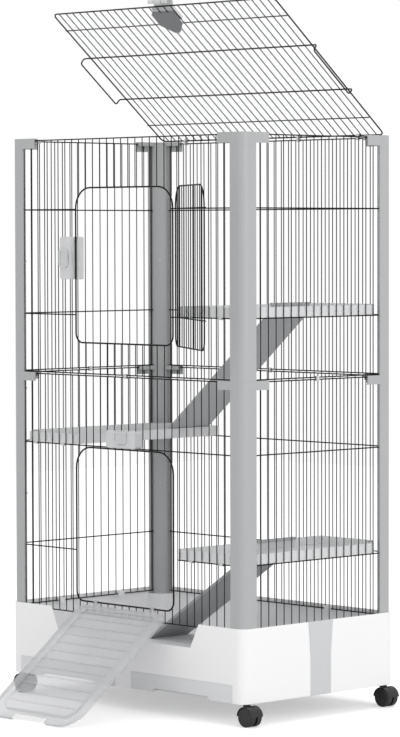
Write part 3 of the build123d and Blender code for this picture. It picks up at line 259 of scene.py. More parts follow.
@dataclass(frozen=True)
class PowderCoat:
    """Black powder coat on steel wire, with a faint orange peel.

    peel is the height of the peel in metres. dark and light are the factors of the colour's
    range, and the scales count a noise's cells in a metre.
    """

    name: str = "wire_black_coat"
    colour: Shade = tone(10, 10, 11)
    rough: float = 0.5
    rough_spread: float = 0.12
    gloss: float = 0.2
    peel: float = 0.00006
    peel_scale: float = 900.0
    broad_scale: float = 14.0
    dark: float = 0.8
    light: float = 1.3

    def material(self) -> bpy.types.Material:
        """Make the finish.

        Returns:
            The material.
        """
        paint = Paint(self.name)
        broad = paint.noise(self.broad_scale)
        fine = paint.noise(self.peel_scale, SOME_OCTAVES)
        colour = paint.blend(broad, shaded(self.colour, self.dark), shaded(self.colour, self.light))
        return paint.finish({"Base Color": colour, "Roughness": swayed(self.rough, self.rough_spread, fine),
                             "Normal": paint.bump(fine, self.peel), "Specular IOR Level": self.gloss})


@dataclass(frozen=True)
class Moulding:
    """Opaque moulded plastic with a fine grain and slight flow marks.

    grain is the height of the grain and edge the radius of the softened corners, in metres.
    spread is how far the colour strays, and the scales count a noise's cells in a metre.
    """

    name: str
    colour: Shade
    rough: float = 0.45
    coat: float = 0.0
    spread: float = 0.04
    edge: float = 0.0009
    grain: float = 0.00003
    grain_scale: float = 1400.0
    grain_rough: float = 0.06
    handled_scale: float = 22.0
    handled_rough: float = 0.10
    flow_scale: float = 5.0
    flow_stretch: Point = (1, 1, 0.35)

    def material(self) -> bpy.types.Material:
        """Make the finish.

        Returns:
            The material.
        """
        paint = Paint(self.name)
        flow = paint.noise(self.flow_scale, SOME_OCTAVES, self.flow_stretch)
        grain = paint.noise(self.grain_scale)
        handled = paint.noise(self.handled_scale, MANY_OCTAVES)
        low, high = shaded(self.colour, 1 - self.spread), shaded(self.colour, 1 + self.spread)
        rough = swayed(self.rough, self.handled_rough, handled)
        return paint.finish({"Base Color": paint.blend(flow, low, high),
                             "Roughness": swayed(rough, self.grain_rough, grain),
                             "Coat Weight": self.coat,
                             "Normal": paint.bump(grain, self.grain, paint.soft_edges(self.edge))})


@dataclass(frozen=True)
class Translucent:
    """Clear or milky plastic that lets what is behind it show.

    solid is its alpha and haze how far that strays. ripple is the height of its ripples and
    edge the radius of the softened corners, in metres.
    """

    name: str
    colour: Shade
    solid: float
    rough: float = 0.18
    rough_spread: float = 0.08
    haze: float = 0.10
    spread: float = 0.04
    edge: float = 0.0009
    ripple: float = 0.00005
    ripple_scale: float = 160.0
    flow_scale: float = 9.0
    ior: float = 1.49

    def material(self) -> bpy.types.Material:
        """Make the finish.

        Returns:
            The material.
        """
        paint = Paint(self.name)
        flow = paint.noise(self.flow_scale, SOME_OCTAVES)
        fine = paint.noise(self.ripple_scale)
        low, high = shaded(self.colour, 1 - self.spread), shaded(self.colour, 1 + self.spread)
        return paint.finish({"Base Color": paint.blend(flow, low, high),
                             "Roughness": swayed(self.rough, self.rough_spread, fine),
                             "Alpha": swayed(self.solid, self.haze, flow), "IOR": self.ior,
                             "Normal": paint.bump(fine, self.ripple, paint.soft_edges(self.edge))})


class Finish(Enum):
    """The finishes of the cage, each with the record's slot that it belongs to."""

    WIRE = ("wire", PowderCoat())
    POST = ("post", Moulding("post_grey_plastic", tone(176, 177, 178), 0.4))
    BASE = ("base", Moulding("base_white_plastic", tone(246, 246, 247), 0.32, coat=0.12, spread=0.012))
    BAND = ("band", Moulding("band_grey_plastic", tone(205, 206, 208), 0.42))
    DRAWER = ("drawer", Moulding("drawer_grey_plastic", tone(222, 223, 225), 0.4, spread=0.02))
    GRATE = ("grate", Moulding("grate_pale_plastic", tone(228, 229, 230), 0.5))
    SHELF = ("shelf", Translucent("shelf_milky_plastic", tone(226, 227, 228), 0.74, 0.3))
    INNER_RAMP = ("inner_ramp", Moulding("inner_ramp_plastic", tone(166, 167, 169), 0.5))
    RAMP_DOOR = ("ramp_door", Translucent("ramp_smoky_plastic", tone(205, 206, 208), 0.42, 0.16))
    CLEAR = ("clear", Translucent("latch_clear_plastic", tone(222, 223, 224), 0.78, 0.14))
    SHIELD = ("shield", Moulding("shield_grey_plastic", tone(120, 121, 124), 0.45))
    SCREW = ("post", Moulding("screw_zinc_plate", tone(214, 214, 212), 0.3, spread=0.08))
    CASTER = ("caster", Moulding("caster_black_nylon", tone(34, 34, 36), 0.38, spread=0.15))

    @property
    def slot(self) -> str:
        """Return the record's material slot."""
        return self.value[0]

    def material(self) -> bpy.types.Material:
        """Return the finish's material, made on first use."""
        maker = self.value[1]
        return bpy.data.materials.get(maker.name) or maker.material()


# Steps that the pieces share

def link(made: bpy.types.Object) -> bpy.types.Object:
    """Put an object in the scene and return it."""
    bpy.context.scene.collection.objects.link(made)
    return made


def settle(piece: bpy.types.Object, body: str, nodes: Iterable[str] = ()) -> None:
    """Give a piece its body and the nodes that it stands for.

    Args:
        piece: The finished piece.
        body: The body that it moves with.
        nodes: The nodes that it replaces.
    """
    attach(piece, body)
    names = tuple(nodes)
    if names:
        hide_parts(*names)
    faces = len(piece.data.polygons)
    LOG.info("%s rides on %s, %d faces, for %s", piece.name, body, faces, names or "nothing")


def smooth(piece: bpy.types.Object, angle: float) -> None:
    """Shade a piece smooth, but for some edges.

    Args:
        piece: The piece.
        angle: Edges sharper than this many degrees stay sharp.
    """
    mesh = piece.data
    mesh.polygons.foreach_set("use_smooth", [True] * len(mesh.polygons))
    mesh.set_sharp_from_angle(angle=radians(angle))


def join(name: str, pieces: list[bpy.types.Object]) -> bpy.types.Object:
    """Join meshes that already carry their materials.

    Args:
        name: The name of the joined piece.
        pieces: The pieces, whose objects are used up.

    Returns:
        The joined piece.
    """
    with bpy.context.temp_override(active_object=pieces[0], selected_editable_objects=pieces,
                                   selected_objects=pieces, object=pieces[0]):
        bpy.ops.object.join()
    pieces[0].name = pieces[0].data.name = name
    return pieces[0]


def in_metres(places: Iterable[Point]) -> list[Point]:
    """Turn places in millimetres into metres."""
    return [tuple(part * MM for part in place) for place in places]


# Repeated geometry

class RepeatTree(Tree):
    """A Geometry Nodes tree with named inputs that turns guide points or lines into a mesh."""

    KINDS = {float: "NodeSocketFloat", int: "NodeSocketInt", "material": "NodeSocketMaterial"}

    def __init__(self, name: str, inputs: dict[str, object]) -> None:
        """Make the tree.

        Args:
            name: The tree's name.
            inputs: The type of each input by name.
        """
        super().__init__(bpy.data.node_groups.new(name, "GeometryNodeTree"))
        face = self.nodes.interface
        face.new_socket("Geometry", in_out="OUTPUT", socket_type="NodeSocketGeometry")
        face.new_socket("Geometry", in_out="INPUT", socket_type="NodeSocketGeometry")
        for key, kind in inputs.items():
            face.new_socket(key, in_out="INPUT", socket_type=self.KINDS[kind])
        self.given = self.node("NodeGroupInput").outputs

    def attribute(self, name: str) -> bpy.types.NodeSocket:
        """Return a number that the guide mesh carries under a name."""
        made = self.node("GeometryNodeInputNamedAttribute", {"data_type": "FLOAT"}, {"Name": name})
        return made.outputs["Attribute"]

    def close(self, geometry: bpy.types.Node) -> None:
        """End the tree with real geometry and its material.

        Args:
            geometry: The last node that shapes the mesh.
        """
        real = self.node("GeometryNodeRealizeInstances", None, {"Geometry": geometry})
        dressed = self.node("GeometryNodeSetMaterial", None,
                            {"Geometry": real, "Material": self.given["Material"]})
        self.node("NodeGroupOutput", None, {"Geometry": dressed})

    def make(self, name: str, guide: bpy.types.Mesh, values: dict[str, object]) -> bpy.types.Object:
        """Run the tree on a guide mesh.

        Args:
            name: The name of the new piece.
            guide: Points or edges with their attributes.
            values: The inputs' values by name.

        Returns:
            A plain mesh object with no modifier.
        """
        carrier = link(bpy.data.objects.new(f"{name}_guide", guide))
        modifier = carrier.modifiers.new("repeat", "NODES")
        modifier.node_group = self.nodes
        for item in self.nodes.interface.items_tree:
            if item.in_out == "INPUT" and item.name in values:
                modifier[item.identifier] = values[item.name]
        graph = bpy.context.evaluated_depsgraph_get()
        mesh = bpy.data.meshes.new_from_object(carrier.evaluated_get(graph), depsgraph=graph)
        carrier.modifiers.remove(modifier)
        bpy.data.objects.remove(carrier)
        mesh.name = name
        return link(bpy.data.objects.new(name, mesh))


@dataclass(frozen=True)
class Wire:
    """One wire in millimetres: its corners, the radius of each bend, and whether it closes."""

    corners: tuple[Point, ...]
    radius: float
    bends: tuple[float, ...] = ()
    closed: bool = False


class WireTree(RepeatTree):
    """Bends each guide line at its corners and makes it a round wire."""

    def __init__(self) -> None:
        """Build the tree."""
        super().__init__("round_wires", {"Sides": int, "Bend Steps": int, "Material": "material"})
        curve = self.node("GeometryNodeMeshToCurve", None, {"Mesh": self.given["Geometry"]})
        bent = self.node("GeometryNodeFilletCurve", {"mode": "POLY"},
                         {"Curve": curve, "Count": self.given["Bend Steps"],
                          "Radius": self.attribute("bend"), "Limit Radius": True})
        section = self.node("GeometryNodeCurvePrimitiveCircle", None,
                            {"Resolution": self.given["Sides"], "Radius": 1.0})
        tube = self.node("GeometryNodeCurveToMesh", None,
                         {"Curve": bent, "Profile Curve": section.outputs["Curve"],
                          "Scale": self.attribute("wire_radius"), "Fill Caps": True})
        self.close(tube)

    def wires(self, name: str, runs: list[Wire], sides: int = THIN_SIDES) -> bpy.types.Object:
        """Make one mesh of all the wires.

        Args:
            name: The piece's name.
            runs: The wires.
            sides: The sides of a wire's section.

        Returns:
            The piece.
        """
        points, edges, bends, radii = [], [], [], []
        for run in runs:
            first, count = len(points), len(run.corners)
            points += in_metres(run.corners)
            bends += [bend * MM for bend in (run.bends or (0.0,) * count)]
            radii += [run.radius * MM] * count
            edges += [(first + i, first + i + 1) for i in range(count - 1)]
            if run.closed:
                edges.append((first + count - 1, first))
        guide = bpy.data.meshes.new(f"{name}_lines")
        guide.from_pydata(points, edges, [])
        for key, values in (("bend", bends), ("wire_radius", radii)):
            guide.attributes.new(key, "FLOAT", "POINT").data.foreach_set("value", values)
        made = self.make(name, guide,
                         {"Sides": sides, "Bend Steps": BEND_STEPS, "Material": Finish.WIRE.material()})
        smooth(made, SHARP_WIRE)
        return made


class WeldTree(RepeatTree):
    """Puts a small flattened bead at each guide point."""

    SUBDIVISIONS = 2
    FLATTENED = (1.0, 0.8, 0.9)
    SEED = 4

    def __init__(self) -> None:
        """Build the tree."""
        super().__init__("weld_beads", {"Bead Radius": float, "Material": "material"})
        bead = self.node("GeometryNodeMeshIcoSphere", None,
                         {"Radius": self.given["Bead Radius"], "Subdivisions": self.SUBDIVISIONS})
        turn = self.node("FunctionNodeRandomValue", {"data_type": "FLOAT_VECTOR"},
                         {"Min": (0, 0, 0), "Max": (pi, pi, pi), "Seed": self.SEED})
        points = self.node("GeometryNodeMeshToPoints", None, {"Mesh": self.given["Geometry"]})
        beads = self.node("GeometryNodeInstanceOnPoints", None,
                          {"Points": points, "Instance": bead.outputs["Mesh"],
                           "Rotation": turn, "Scale": self.FLATTENED})
        self.close(beads)

    def beads(self, name: str, places: list[Point], radius: float, finish: Finish) -> bpy.types.Object:
        """Make one mesh of beads.

        Args:
            name: The piece's name.
            places: The middles of the beads, in millimetres.
            radius: Their radius, in millimetres.
            finish: Their finish.

        Returns:
            The piece.
        """
        guide = bpy.data.meshes.new(f"{name}_points")
        guide.from_pydata(in_metres(places), [], [])
        made = self.make(name, guide, {"Bead Radius": radius * MM, "Material": finish.material()})
        smooth(made, NEVER_SHARP)
        return made


# The wire work's sizes, in millimetres, the same as the solids'

@dataclass(frozen=True)
class CageSizes:
    """Places and sizes that several pieces of wire work share.

    bar, rail, ring, frame, light and bead are radii, and weld is the gap between wires that touch.
    crossings are the distances of the middle rails below a panel's top.
    """

    pitch: float = 25.4
    bar: float = 1.2
    rail: float = 1.5
    ring: float = 2.0
    frame: float = 1.8
    light: float = 1.4
    bead: float = 1.25
    weld: float = 0.05
    panel_x: float = 406.5
    panel_y: float = 247.8
    lower: Pair = (220.0, 802.0)
    upper: Pair = (807.0, 1378.0)
    crossings: Pair = (171.0, 428.0)
    doorway_w: float = 346.0
    doorway_h: float = 377.0
    top_bend: float = 51.0
    low_bend: float = 24.0
    lower_ring_low: float = 250.7
    upper_ring_low: float = 882.5

    @property
    def rail_in(self) -> float:
        """Return how far the rails lie inside the bars."""
        return self.bar + self.rail + self.weld

    @property
    def ring_y(self) -> float:
        """Return the plane of the doorway rings."""
        return -self.panel_y - self.bar - self.ring - self.weld

    @property
    def half_w(self) -> float:
        """Return half the doorway's width."""
        return self.doorway_w / 2

    @property
    def doorway_bends(self) -> tuple[float, ...]:
        """Return the bends of a wire that follows the doorway, from its lower corners on."""
        return (self.low_bend,) * 2 + (self.top_bend,) * 2

    def row(self, count: int) -> list[float]:
        """Return the places of a row of bars about the middle."""
        return [(i - (count - 1) / 2) * self.pitch for i in range(count)]

    def crossing_heights(self, high: float) -> Pair:
        """Return the heights of a panel's middle rails, under its top."""
        return high - self.crossings[1], high - self.crossings[0]


SIZES = CageSizes()


def cut_back(bend: float, past: float) -> float:
    """Return how much shorter a bar is that meets a rounded corner that far past its start."""
    return bend - sqrt(max(0.0, bend ** 2 - past ** 2)) if past > 0 else 0.0


@dataclass
class WirePanels:
    """The eight wire panels and the two doorway rings.

    overrun is how far a rail passes its last bar, and stop how far it ends beside the doorway.
    """

    long_bars: int = 30
    short_bars: int = 18
    overrun: float = 2.0
    stop: float = 8.0
    wires: WireTree = field(default_factory=WireTree)
    welds: WeldTree = field(default_factory=WeldTree)

    def build(self) -> None:
        """Make every panel and ring, each as one piece."""
        for level, low, high, ring_low in (("lower", *SIZES.lower, SIZES.lower_ring_low),
                                           ("upper", *SIZES.upper, SIZES.upper_ring_low)):
            self._plain(f"{level}_panel_back", low, high, self.long_bars, (1, 0))
            self._plain(f"{level}_panel_left", low, high, self.short_bars, (0, -1))
            self._plain(f"{level}_panel_right", low, high, self.short_bars, (0, 1))
            self._front(level, low, high, ring_low)
            self._ring(level, ring_low)

    def _plain(self, node: str, low: float, high: float, bars: int, side: tuple[int, int]) -> None:
        """Make a panel with no doorway.

        Args:
            node: The node that it replaces.
            low: The height of its lowest rail.
            high: The height of its highest rail.
            bars: The number of its bars.
            side: 1 and 0 at the back, 0 and the side of X at the left or the right.
        """
        back, across = side
        places = SIZES.row(bars)
        reach = places[-1] + self.overrun
        inner = SIZES.rail_in

        def spot(along: float, inward: float, z: float) -> Point:
            """Return a place on the panel.

            Args:
                along: How far it is from the panel's middle.
                inward: How far it is inside the bars.
                z: Its height.

            Returns:
                The place.
            """
            if back:
                return along, SIZES.panel_y - inward, z
            return across * (SIZES.panel_x - inward), along, z

        runs = [Wire((spot(p, 0, low), spot(p, 0, high)), SIZES.bar) for p in places]
        heights = (low, *SIZES.crossing_heights(high), high)
        runs += [Wire((spot(-reach, inner, z), spot(reach, inner, z)), SIZES.rail) for z in heights]
        beads = [spot(p, SIZES.bar, z) for p in places for z in heights]
        self._settle(node, runs, beads)

    def _front(self, level: str, low: float, high: float, ring_low: float) -> None:
        """Make a front panel whose bars and rails stop at its doorway.

        Args:
            level: The storey, lower or upper.
            low: The height of its lowest rail.
            high: The height of its highest rail.
            ring_low: The height of the doorway's lower edge.
        """
        ring_high = ring_low + SIZES.doorway_h
        places = SIZES.row(self.long_bars)
        reach = places[-1] + self.overrun
        runs, beads = [], []
        y = -SIZES.panel_y
        for x in places:
            if abs(x) > SIZES.half_w:
                runs.append(Wire(((x, y, low), (x, y, high)), SIZES.bar))
                continue
            top_end = ring_high - self._corner(x, SIZES.top_bend)
            low_end = ring_low + self._corner(x, SIZES.low_bend)
            runs.append(Wire(((x, y, low), (x, y, low_end)), SIZES.bar))
            runs.append(Wire(((x, y, top_end), (x, y, high)), SIZES.bar))
            beads += [(x, y - SIZES.bar, low_end), (x, y - SIZES.bar, top_end)]
        inner = y + SIZES.rail_in
        beside = SIZES.half_w + self.stop
        for z in (low, *SIZES.crossing_heights(high), high):
            whole = z in (low, high) or z < ring_low or z > ring_high
            for start, end in ((-reach, reach),) if whole else ((-reach, -beside), (beside, reach)):
                runs.append(Wire(((start, inner, z), (end, inner, z)), SIZES.rail))
                beads += [(x, y + SIZES.bar, z) for x in places if start < x < end]
        self._settle(f"{level}_panel_front", runs, beads)

    def _corner(self, x: float, bend: float) -> float:
        """Return how far a bar at x stops short of a doorway edge with rounded corners."""
        return cut_back(bend, abs(x) - (SIZES.half_w - bend))

    def _ring(self, level: str, low: float) -> None:
        """Make the heavy wire round a doorway.

        Args:
            level: The storey, lower or upper.
            low: The height of the doorway's lower edge.
        """
        w, high = SIZES.half_w, low + SIZES.doorway_h
        corners = tuple((x, SIZES.ring_y, z) for x, z in ((-w, low), (w, low), (w, high), (-w, high)))
        run = Wire(corners, SIZES.ring, SIZES.doorway_bends, True)
        ring = self.wires.wires(f"{level}_doorway_wire", [run], THICK_SIDES)
        settle(ring, "cage", [f"{level}_doorway_ring"])

    def _settle(self, node: str, runs: list[Wire], beads: list[Point]) -> None:
        """Join a panel's wires and beads and put it in the node's place.

        Args:
            node: The node that it replaces.
            runs: Its wires.
            beads: The middles of its welds.
        """
        made = [self.wires.wires(f"{node}_wires", runs),
                self.welds.beads(f"{node}_beads", beads, SIZES.bead, Finish.WIRE)]
        settle(join(f"{node}_wires", made), "cage", [node])


@dataclass
class UpperDoor:
    """Side-hung door of bars in a bent frame wire, on two hinge wires.

    It is drawn shut, with X and Y from the hinge's axis, and turned open. setback is how far its
    frame starts from the axis, and an eye's arc and the steps in it are in degrees.
    """

    open_angle: float = 148.0
    setback: float = 12.0
    bars: int = 12
    clear: float = 0.3
    hinge_bend: float = 2.5
    eye_arc: tuple[int, int] = (90, 340)
    eye_step: int = 10

    @property
    def plane(self) -> float:
        """Return how far the door's frame lies from the hinge's axis."""
        return SIZES.ring + SIZES.frame + self.clear

    def build(self, wires: WireTree, welds: WeldTree) -> None:
        """Make the door as it stands open.

        Args:
            wires: The tree that makes wires.
            welds: The tree that makes weld beads.
        """
        turn = radians(180 + self.open_angle)
        place = Matrix.Translation((SIZES.half_w, SIZES.ring_y, 0)) @ Matrix.Rotation(turn, 4, "Z")
        heights = SIZES.crossing_heights(SIZES.upper[1])
        runs = self._grille() + self._hinges(heights)
        placed = [Wire(tuple(tuple(place @ Vector(corner)) for corner in run.corners),
                       run.radius, run.bends, run.closed) for run in runs]
        spots = [tuple(place @ Vector((x, self.plane + SIZES.bar, z))) for x in self._row() for z in heights]
        made = [wires.wires("upper_door_wires", placed),
                welds.beads("upper_door_beads", spots, SIZES.bead, Finish.WIRE)]
        settle(join("upper_door_wires", made), "upper_door", ["upper_door"])

    def _row(self) -> list[float]:
        """Return the places of the bars between the frame's sides."""
        step = (SIZES.doorway_w - self.setback) / (self.bars + 1)
        return [self.setback + i * step for i in range(1, self.bars + 1)]

    def _grille(self) -> list[Wire]:
        """Draw the frame and its bars.

        Returns:
            The wires, whose bars stop at the frame's rounded corners.
        """
        near, far = self.setback, SIZES.doorway_w
        low = SIZES.upper_ring_low
        high = low + SIZES.doorway_h
        rim = ((near, low), (far, low), (far, high), (near, high))
        outline = tuple((x, self.plane, z) for x, z in rim)
        runs = [Wire(outline, SIZES.frame, SIZES.doorway_bends, True)]
        for x in self._row():
            inset = min(x - near, far - x)
            low_cut, top_cut = (cut_back(bend, bend - inset) for bend in (SIZES.low_bend, SIZES.top_bend))
            runs.append(Wire(((x, self.plane, low + low_cut), (x, self.plane, high - top_cut)), SIZES.bar))
        return runs

    def _hinges(self, heights: Pair) -> list[Wire]:
        """Return the two hinge wires.

        Args:
            heights: Their heights.

        Returns:
            Wires across the door, each with an eye round the doorway ring.
        """
        cross = self.plane + SIZES.frame + SIZES.light + SIZES.weld
        loop = SIZES.ring + self.clear + SIZES.light
        start, end = self.eye_arc
        turns = [radians(angle) for angle in range(start, end + 1, self.eye_step)]
        runs = []
        for z in heights:
            eye = tuple((loop * cos(turn), loop * sin(turn), z) for turn in turns)
            arm = ((SIZES.doorway_w, cross, z), (self.setback - self.hinge_bend, cross, z),
                   (loop + SIZES.light / 2, loop, z))
            bends = (0.0, self.hinge_bend, self.hinge_bend) + (0.0,) * len(eye)
            runs.append(Wire(arm + eye, SIZES.light, bends))
        return runs


@dataclass
class Lid:
    """Hinged lid: frame wire, bars, light cross wires and the heavy hoops over the sides.

    half is half its width, and length how far it reaches from the hinge. light_at and hoop_at are
    distances from the hinge, and the hoops' ends stand out past the panels and drop below them.
    """

    open_angle: float = 39.65
    hinge_y: float = 245.05
    hinge_z: float = 1385.5
    half: float = 392.0
    length: float = 488.0
    bend: float = 14.0
    bars: int = 30
    light_at: Pair = (67.0, 430.0)
    hoop_at: Pair = (170.0, 327.0)
    hoop_out: float = 6.0
    hoop_drop: float = 17.0
    hoop_bend: float = 6.0

    def build(self, wires: WireTree, welds: WeldTree) -> None:
        """Make the lid's wires.

        Args:
            wires: The tree that makes wires.
            welds: The tree that makes weld beads.
        """
        places = SIZES.row(self.bars)
        beads = [self._spot(x, s, -SIZES.frame) for x in places for s in self.light_at + self.hoop_at]
        made = [wires.wires("lid_wires", self._grille(places)),
                welds.beads("lid_beads", beads, SIZES.bead, Finish.WIRE)]
        settle(join("lid_wires", made), "lid", ["lid_grille"])
        hoops = wires.wires("lid_hoop_wire", [self._hoops()], THICK_SIDES)
        settle(hoops, "lid", ["lid_hoops"])

    def _spot(self, x: float, along: float, rise: float) -> Point:
        """Return a place on the open lid.

        Args:
            x: How far it is from the lid's middle.
            along: How far it is from the hinge.
            rise: How far it is above the frame wire's plane.

        Returns:
            The place in the cage's frame, in millimetres.
        """
        tilt = radians(self.open_angle)
        y = self.hinge_y - along * cos(tilt) + rise * sin(tilt)
        return -x, y, self.hinge_z + along * sin(tilt) + rise * cos(tilt)

    def _grille(self, places: list[float]) -> list[Wire]:
        """Return the frame, the bars and the light cross wires.

        Args:
            places: The places of the bars across the lid.

        Returns:
            The wires.
        """
        half, end = self.half, self.length
        rim = ((-half, 0), (half, 0), (half, end), (-half, end))
        outline = tuple(self._spot(x, s, 0) for x, s in rim)
        runs = [Wire(outline, SIZES.frame, (self.bend,) * 4, True)]
        low = SIZES.bar - SIZES.frame
        runs += [Wire((self._spot(x, 0, low), self._spot(x, end, low)), SIZES.bar) for x in places]
        under = -SIZES.frame - SIZES.light - SIZES.weld
        runs += [Wire((self._spot(-half, s, under), self._spot(half, s, under)), SIZES.light)
                 for s in self.light_at]
        return runs

    def _hoops(self) -> Wire:
        """Draw both hoops.

        Returns:
            One heavy wire that crosses the lid twice and hangs down outside the panels.
        """
        high = -2 * SIZES.frame - SIZES.weld
        low = high - self.hoop_drop
        out = SIZES.panel_x + self.hoop_out
        near, far = self.hoop_at
        turns = ((-out, near, high), (out, near, high), (out, near, low), (out, far, low),
                 (out, far, high), (-out, far, high), (-out, far, low), (-out, near, low))
        corners = tuple(self._spot(*turn) for turn in turns)
        return Wire(corners, SIZES.frame, (self.hoop_bend,) * len(corners), True)


@dataclass
class CornerPosts:
    """Angle-shaped corner posts with their connectors and screws, drawn after the photograph.

    The solids' posts are square tubes as wide as the flanges here. An outline is drawn in u and v,
    the distances in from the two outer faces of a corner. It has a rounded outer corner, two
    flanges, a rebate behind each flange for a panel's edge, and a core with a bulging face towards
    the middle of the cage. Sizes are in millimetres.
    """

    CORNERS = {"front_left": (-1, -1), "front_right": (1, -1), "back_left": (-1, 1), "back_right": (1, 1)}
    MERGE_WITHIN = 1e-6

    outer_x: float = 411.5
    outer_y: float = 252.8
    flange: float = 43.5
    wall: float = 3.0
    rebate: float = 10.0
    core: float = 10.0
    corner_r: float = 20.0
    bulge: float = 4.0
    steps: int = 12
    foot: float = 212.0
    joiner: Pair = (771.2, 805.2)
    cap: Pair = (1351.0, 1383.0)
    wing: float = 42.0
    wing_depth: float = 12.5
    wing_wall: float = 2.5
    joiner_wing_h: float = 21.5
    cap_wing_h: float = 25.0
    cap_plate_t: float = 3.2
    lip_h: float = 10.0
    screws: tuple[float, ...] = (500.0, 764.0, 1080.0)
    screw_r: float = 2.6

    @property
    def inset(self) -> float:
        """Return how far in from the outer faces the rebates start."""
        return self.flange - self.rebate

    @property
    def reach(self) -> float:
        """Return how far the wings reach from the outer corner."""
        return self.flange + self.wing

    def build(self, beads: WeldTree) -> None:
        """Make every post and connector as a piece of its own, and all the screws as one.

        Args:
            beads: The tree that sets round heads at points.
        """
        places = []
        post = self._outline(self.flange, self.wall)
        middle = (self.inset + self.core) / 2 + self.bulge / sqrt(2)
        for corner, side in self.CORNERS.items():
            self._piece(f"lower_post_{corner}", side, [(post, self.foot, self.joiner[0])])
            self._piece(f"upper_post_{corner}", side, [(post, self.joiner[1], self.cap[0])])
            self._piece(f"post_joiner_{corner}", side, self._joiner_layers())
            self._piece(f"post_cap_{corner}", side, self._cap_layers())
            places += [self._spot((middle, middle), side, z) for z in self.screws]
        settle(beads.beads("post_screws", places, self.screw_r, Finish.SCREW), "cage")

    def _outline(self, reach: float, depth: float) -> list[Pair]:
        """Return a closed outline in u and v.

        Args:
            reach: How far the flanges reach from the outer corner.
            depth: How thick they are.

        Returns:
            The outline's points.
        """
        r, inset = self.corner_r, self.inset
        turns = [pi / 2 * i / self.steps for i in range(self.steps + 1)]
        points = [(reach, 0.0)] + [(r - r * sin(t), r - r * cos(t)) for t in turns] + [(0.0, reach)]
        points += [(depth, reach), (depth, inset)]
        start, end = (max(depth, self.core), inset), (inset, max(depth, self.core))
        for i in range(self.steps + 1):
            share = i / self.steps
            out = self.bulge * sin(pi * share) / sqrt(2)
            points.append(tuple(a + (b - a) * share + out for a, b in zip(start, end)))
        return points + [(inset, depth), (reach, depth)]

    def _lips(self, low: float, high: float) -> list[Layer]:
        """Return the inner walls of the two wings.

        Args:
            low: Their lower height.
            high: Their upper height.

        Returns:
            A layer for each wing.
        """
        near, far = self.wing_depth - self.wing_wall, self.wing_depth
        along = [(self.inset, near), (self.reach, near), (self.reach, far), (self.inset, far)]
        return [(along, low, high), ([(v, u) for u, v in along], low, high)]

    def _joiner_layers(self) -> list[Layer]:
        """Draw a middle connector.

        Returns:
            Its outlines, each with its two heights.
        """
        low, high = self.joiner
        under = high - self.joiner_wing_h
        return [(self._outline(self.flange, self.wall), low, under),
                (self._outline(self.reach, self.wall), under, high),
                *self._lips(high - self.lip_h, high)]

    def _cap_layers(self) -> list[Layer]:
        """Draw a top connector.

        Returns:
            Its outlines, each with its two heights.
        """
        low, high = self.cap
        under, plate = high - self.cap_wing_h, high - self.cap_plate_t
        return [(self._outline(self.flange, self.wall), low, under),
                (self._outline(self.reach, self.wall), under, plate),
                (self._outline(self.reach, self.wing_depth), plate, high),
                *self._lips(high - self.lip_h, plate)]

    def _spot(self, place: Pair, side: tuple[int, int], z: float) -> Point:
        """Return a place of an outline in the cage's frame."""
        return side[0] * (self.outer_x - place[0]), side[1] * (self.outer_y - place[1]), z

    def _piece(self, node: str, side: tuple[int, int], layers: list[Layer]) -> None:
        """Extrude outlines into one piece that stands for a node.

        Args:
            node: The node.
            side: The sides of X and Y that its corner is on.
            layers: Outlines, each with its lower and upper height.
        """
        shape = bmesh.new()
        for outline, low, high in layers:
            rings = [[shape.verts.new(Vector(self._spot(place, side, z)) * MM) for place in outline]
                     for z in (low, high)]
            count = len(outline)
            for i in range(count):
                j = (i + 1) % count
                shape.faces.new((rings[0][i], rings[0][j], rings[1][j], rings[1][i]))
            for ring in rings:
                shape.faces.new(ring)
        bmesh.ops.dissolve_degenerate(shape, dist=self.MERGE_WITHIN, edges=shape.edges[:])
        bmesh.ops.recalc_face_normals(shape, faces=shape.faces[:])
        mesh = bpy.data.meshes.new(f"{node}_shell")
        shape.to_mesh(mesh)
        shape.free()
        mesh.materials.append(Finish.POST.material())
        piece = link(bpy.data.objects.new(f"{node}_shell", mesh))
        smooth(piece, SHARP_MOULDING)
        settle(piece, "cage", [node])


@dataclass
class Mouldings:
    """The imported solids, which all get a finish by the start of their names.

    The first start that fits counts, so the longer ones stand before the shorter. Solids that a
    finer piece replaces get their finish too.
    """

    finishes: dict[str, Finish] = field(default_factory=lambda: {
        "lower_post": Finish.POST, "upper_post": Finish.POST, "post_": Finish.POST,
        "base_tub": Finish.BASE, "base_band": Finish.BAND, "drawer": Finish.DRAWER,
        "floor_grate": Finish.GRATE, "shelf_hooks": Finish.CLEAR, "shelf": Finish.SHELF,
        "inner_ramp": Finish.INNER_RAMP, "ramp_door": Finish.RAMP_DOOR, "ramp_latch": Finish.CLEAR,
        "door_latch": Finish.CLEAR, "lid_hinge_clips": Finish.CLEAR, "lid_latch_shield": Finish.SHIELD,
        "lid_latch": Finish.CLEAR, "caster": Finish.CASTER, "panel_joiner": Finish.CLEAR,
        "lower_panel": Finish.WIRE, "upper_panel": Finish.WIRE, "lower_doorway": Finish.WIRE,
        "upper_doorway": Finish.WIRE, "upper_door": Finish.WIRE, "lid_": Finish.WIRE,
    })

    def dress(self) -> None:
        """Give every node its finish."""
        for name, node in frame["nodes"].items():
            finish = next(f for start, f in self.finishes.items() if name.startswith(start))
            node.data.materials.clear()
            node.data.materials.append(finish.material())
            LOG.info("%s has %s", name, finish.name)


# Stage

@dataclass(frozen=True)
class Lamp:
    """A soft square lamp: its name, its place and side in metres, and its power in watts."""

    name: str
    place: Point
    side: float
    power: float


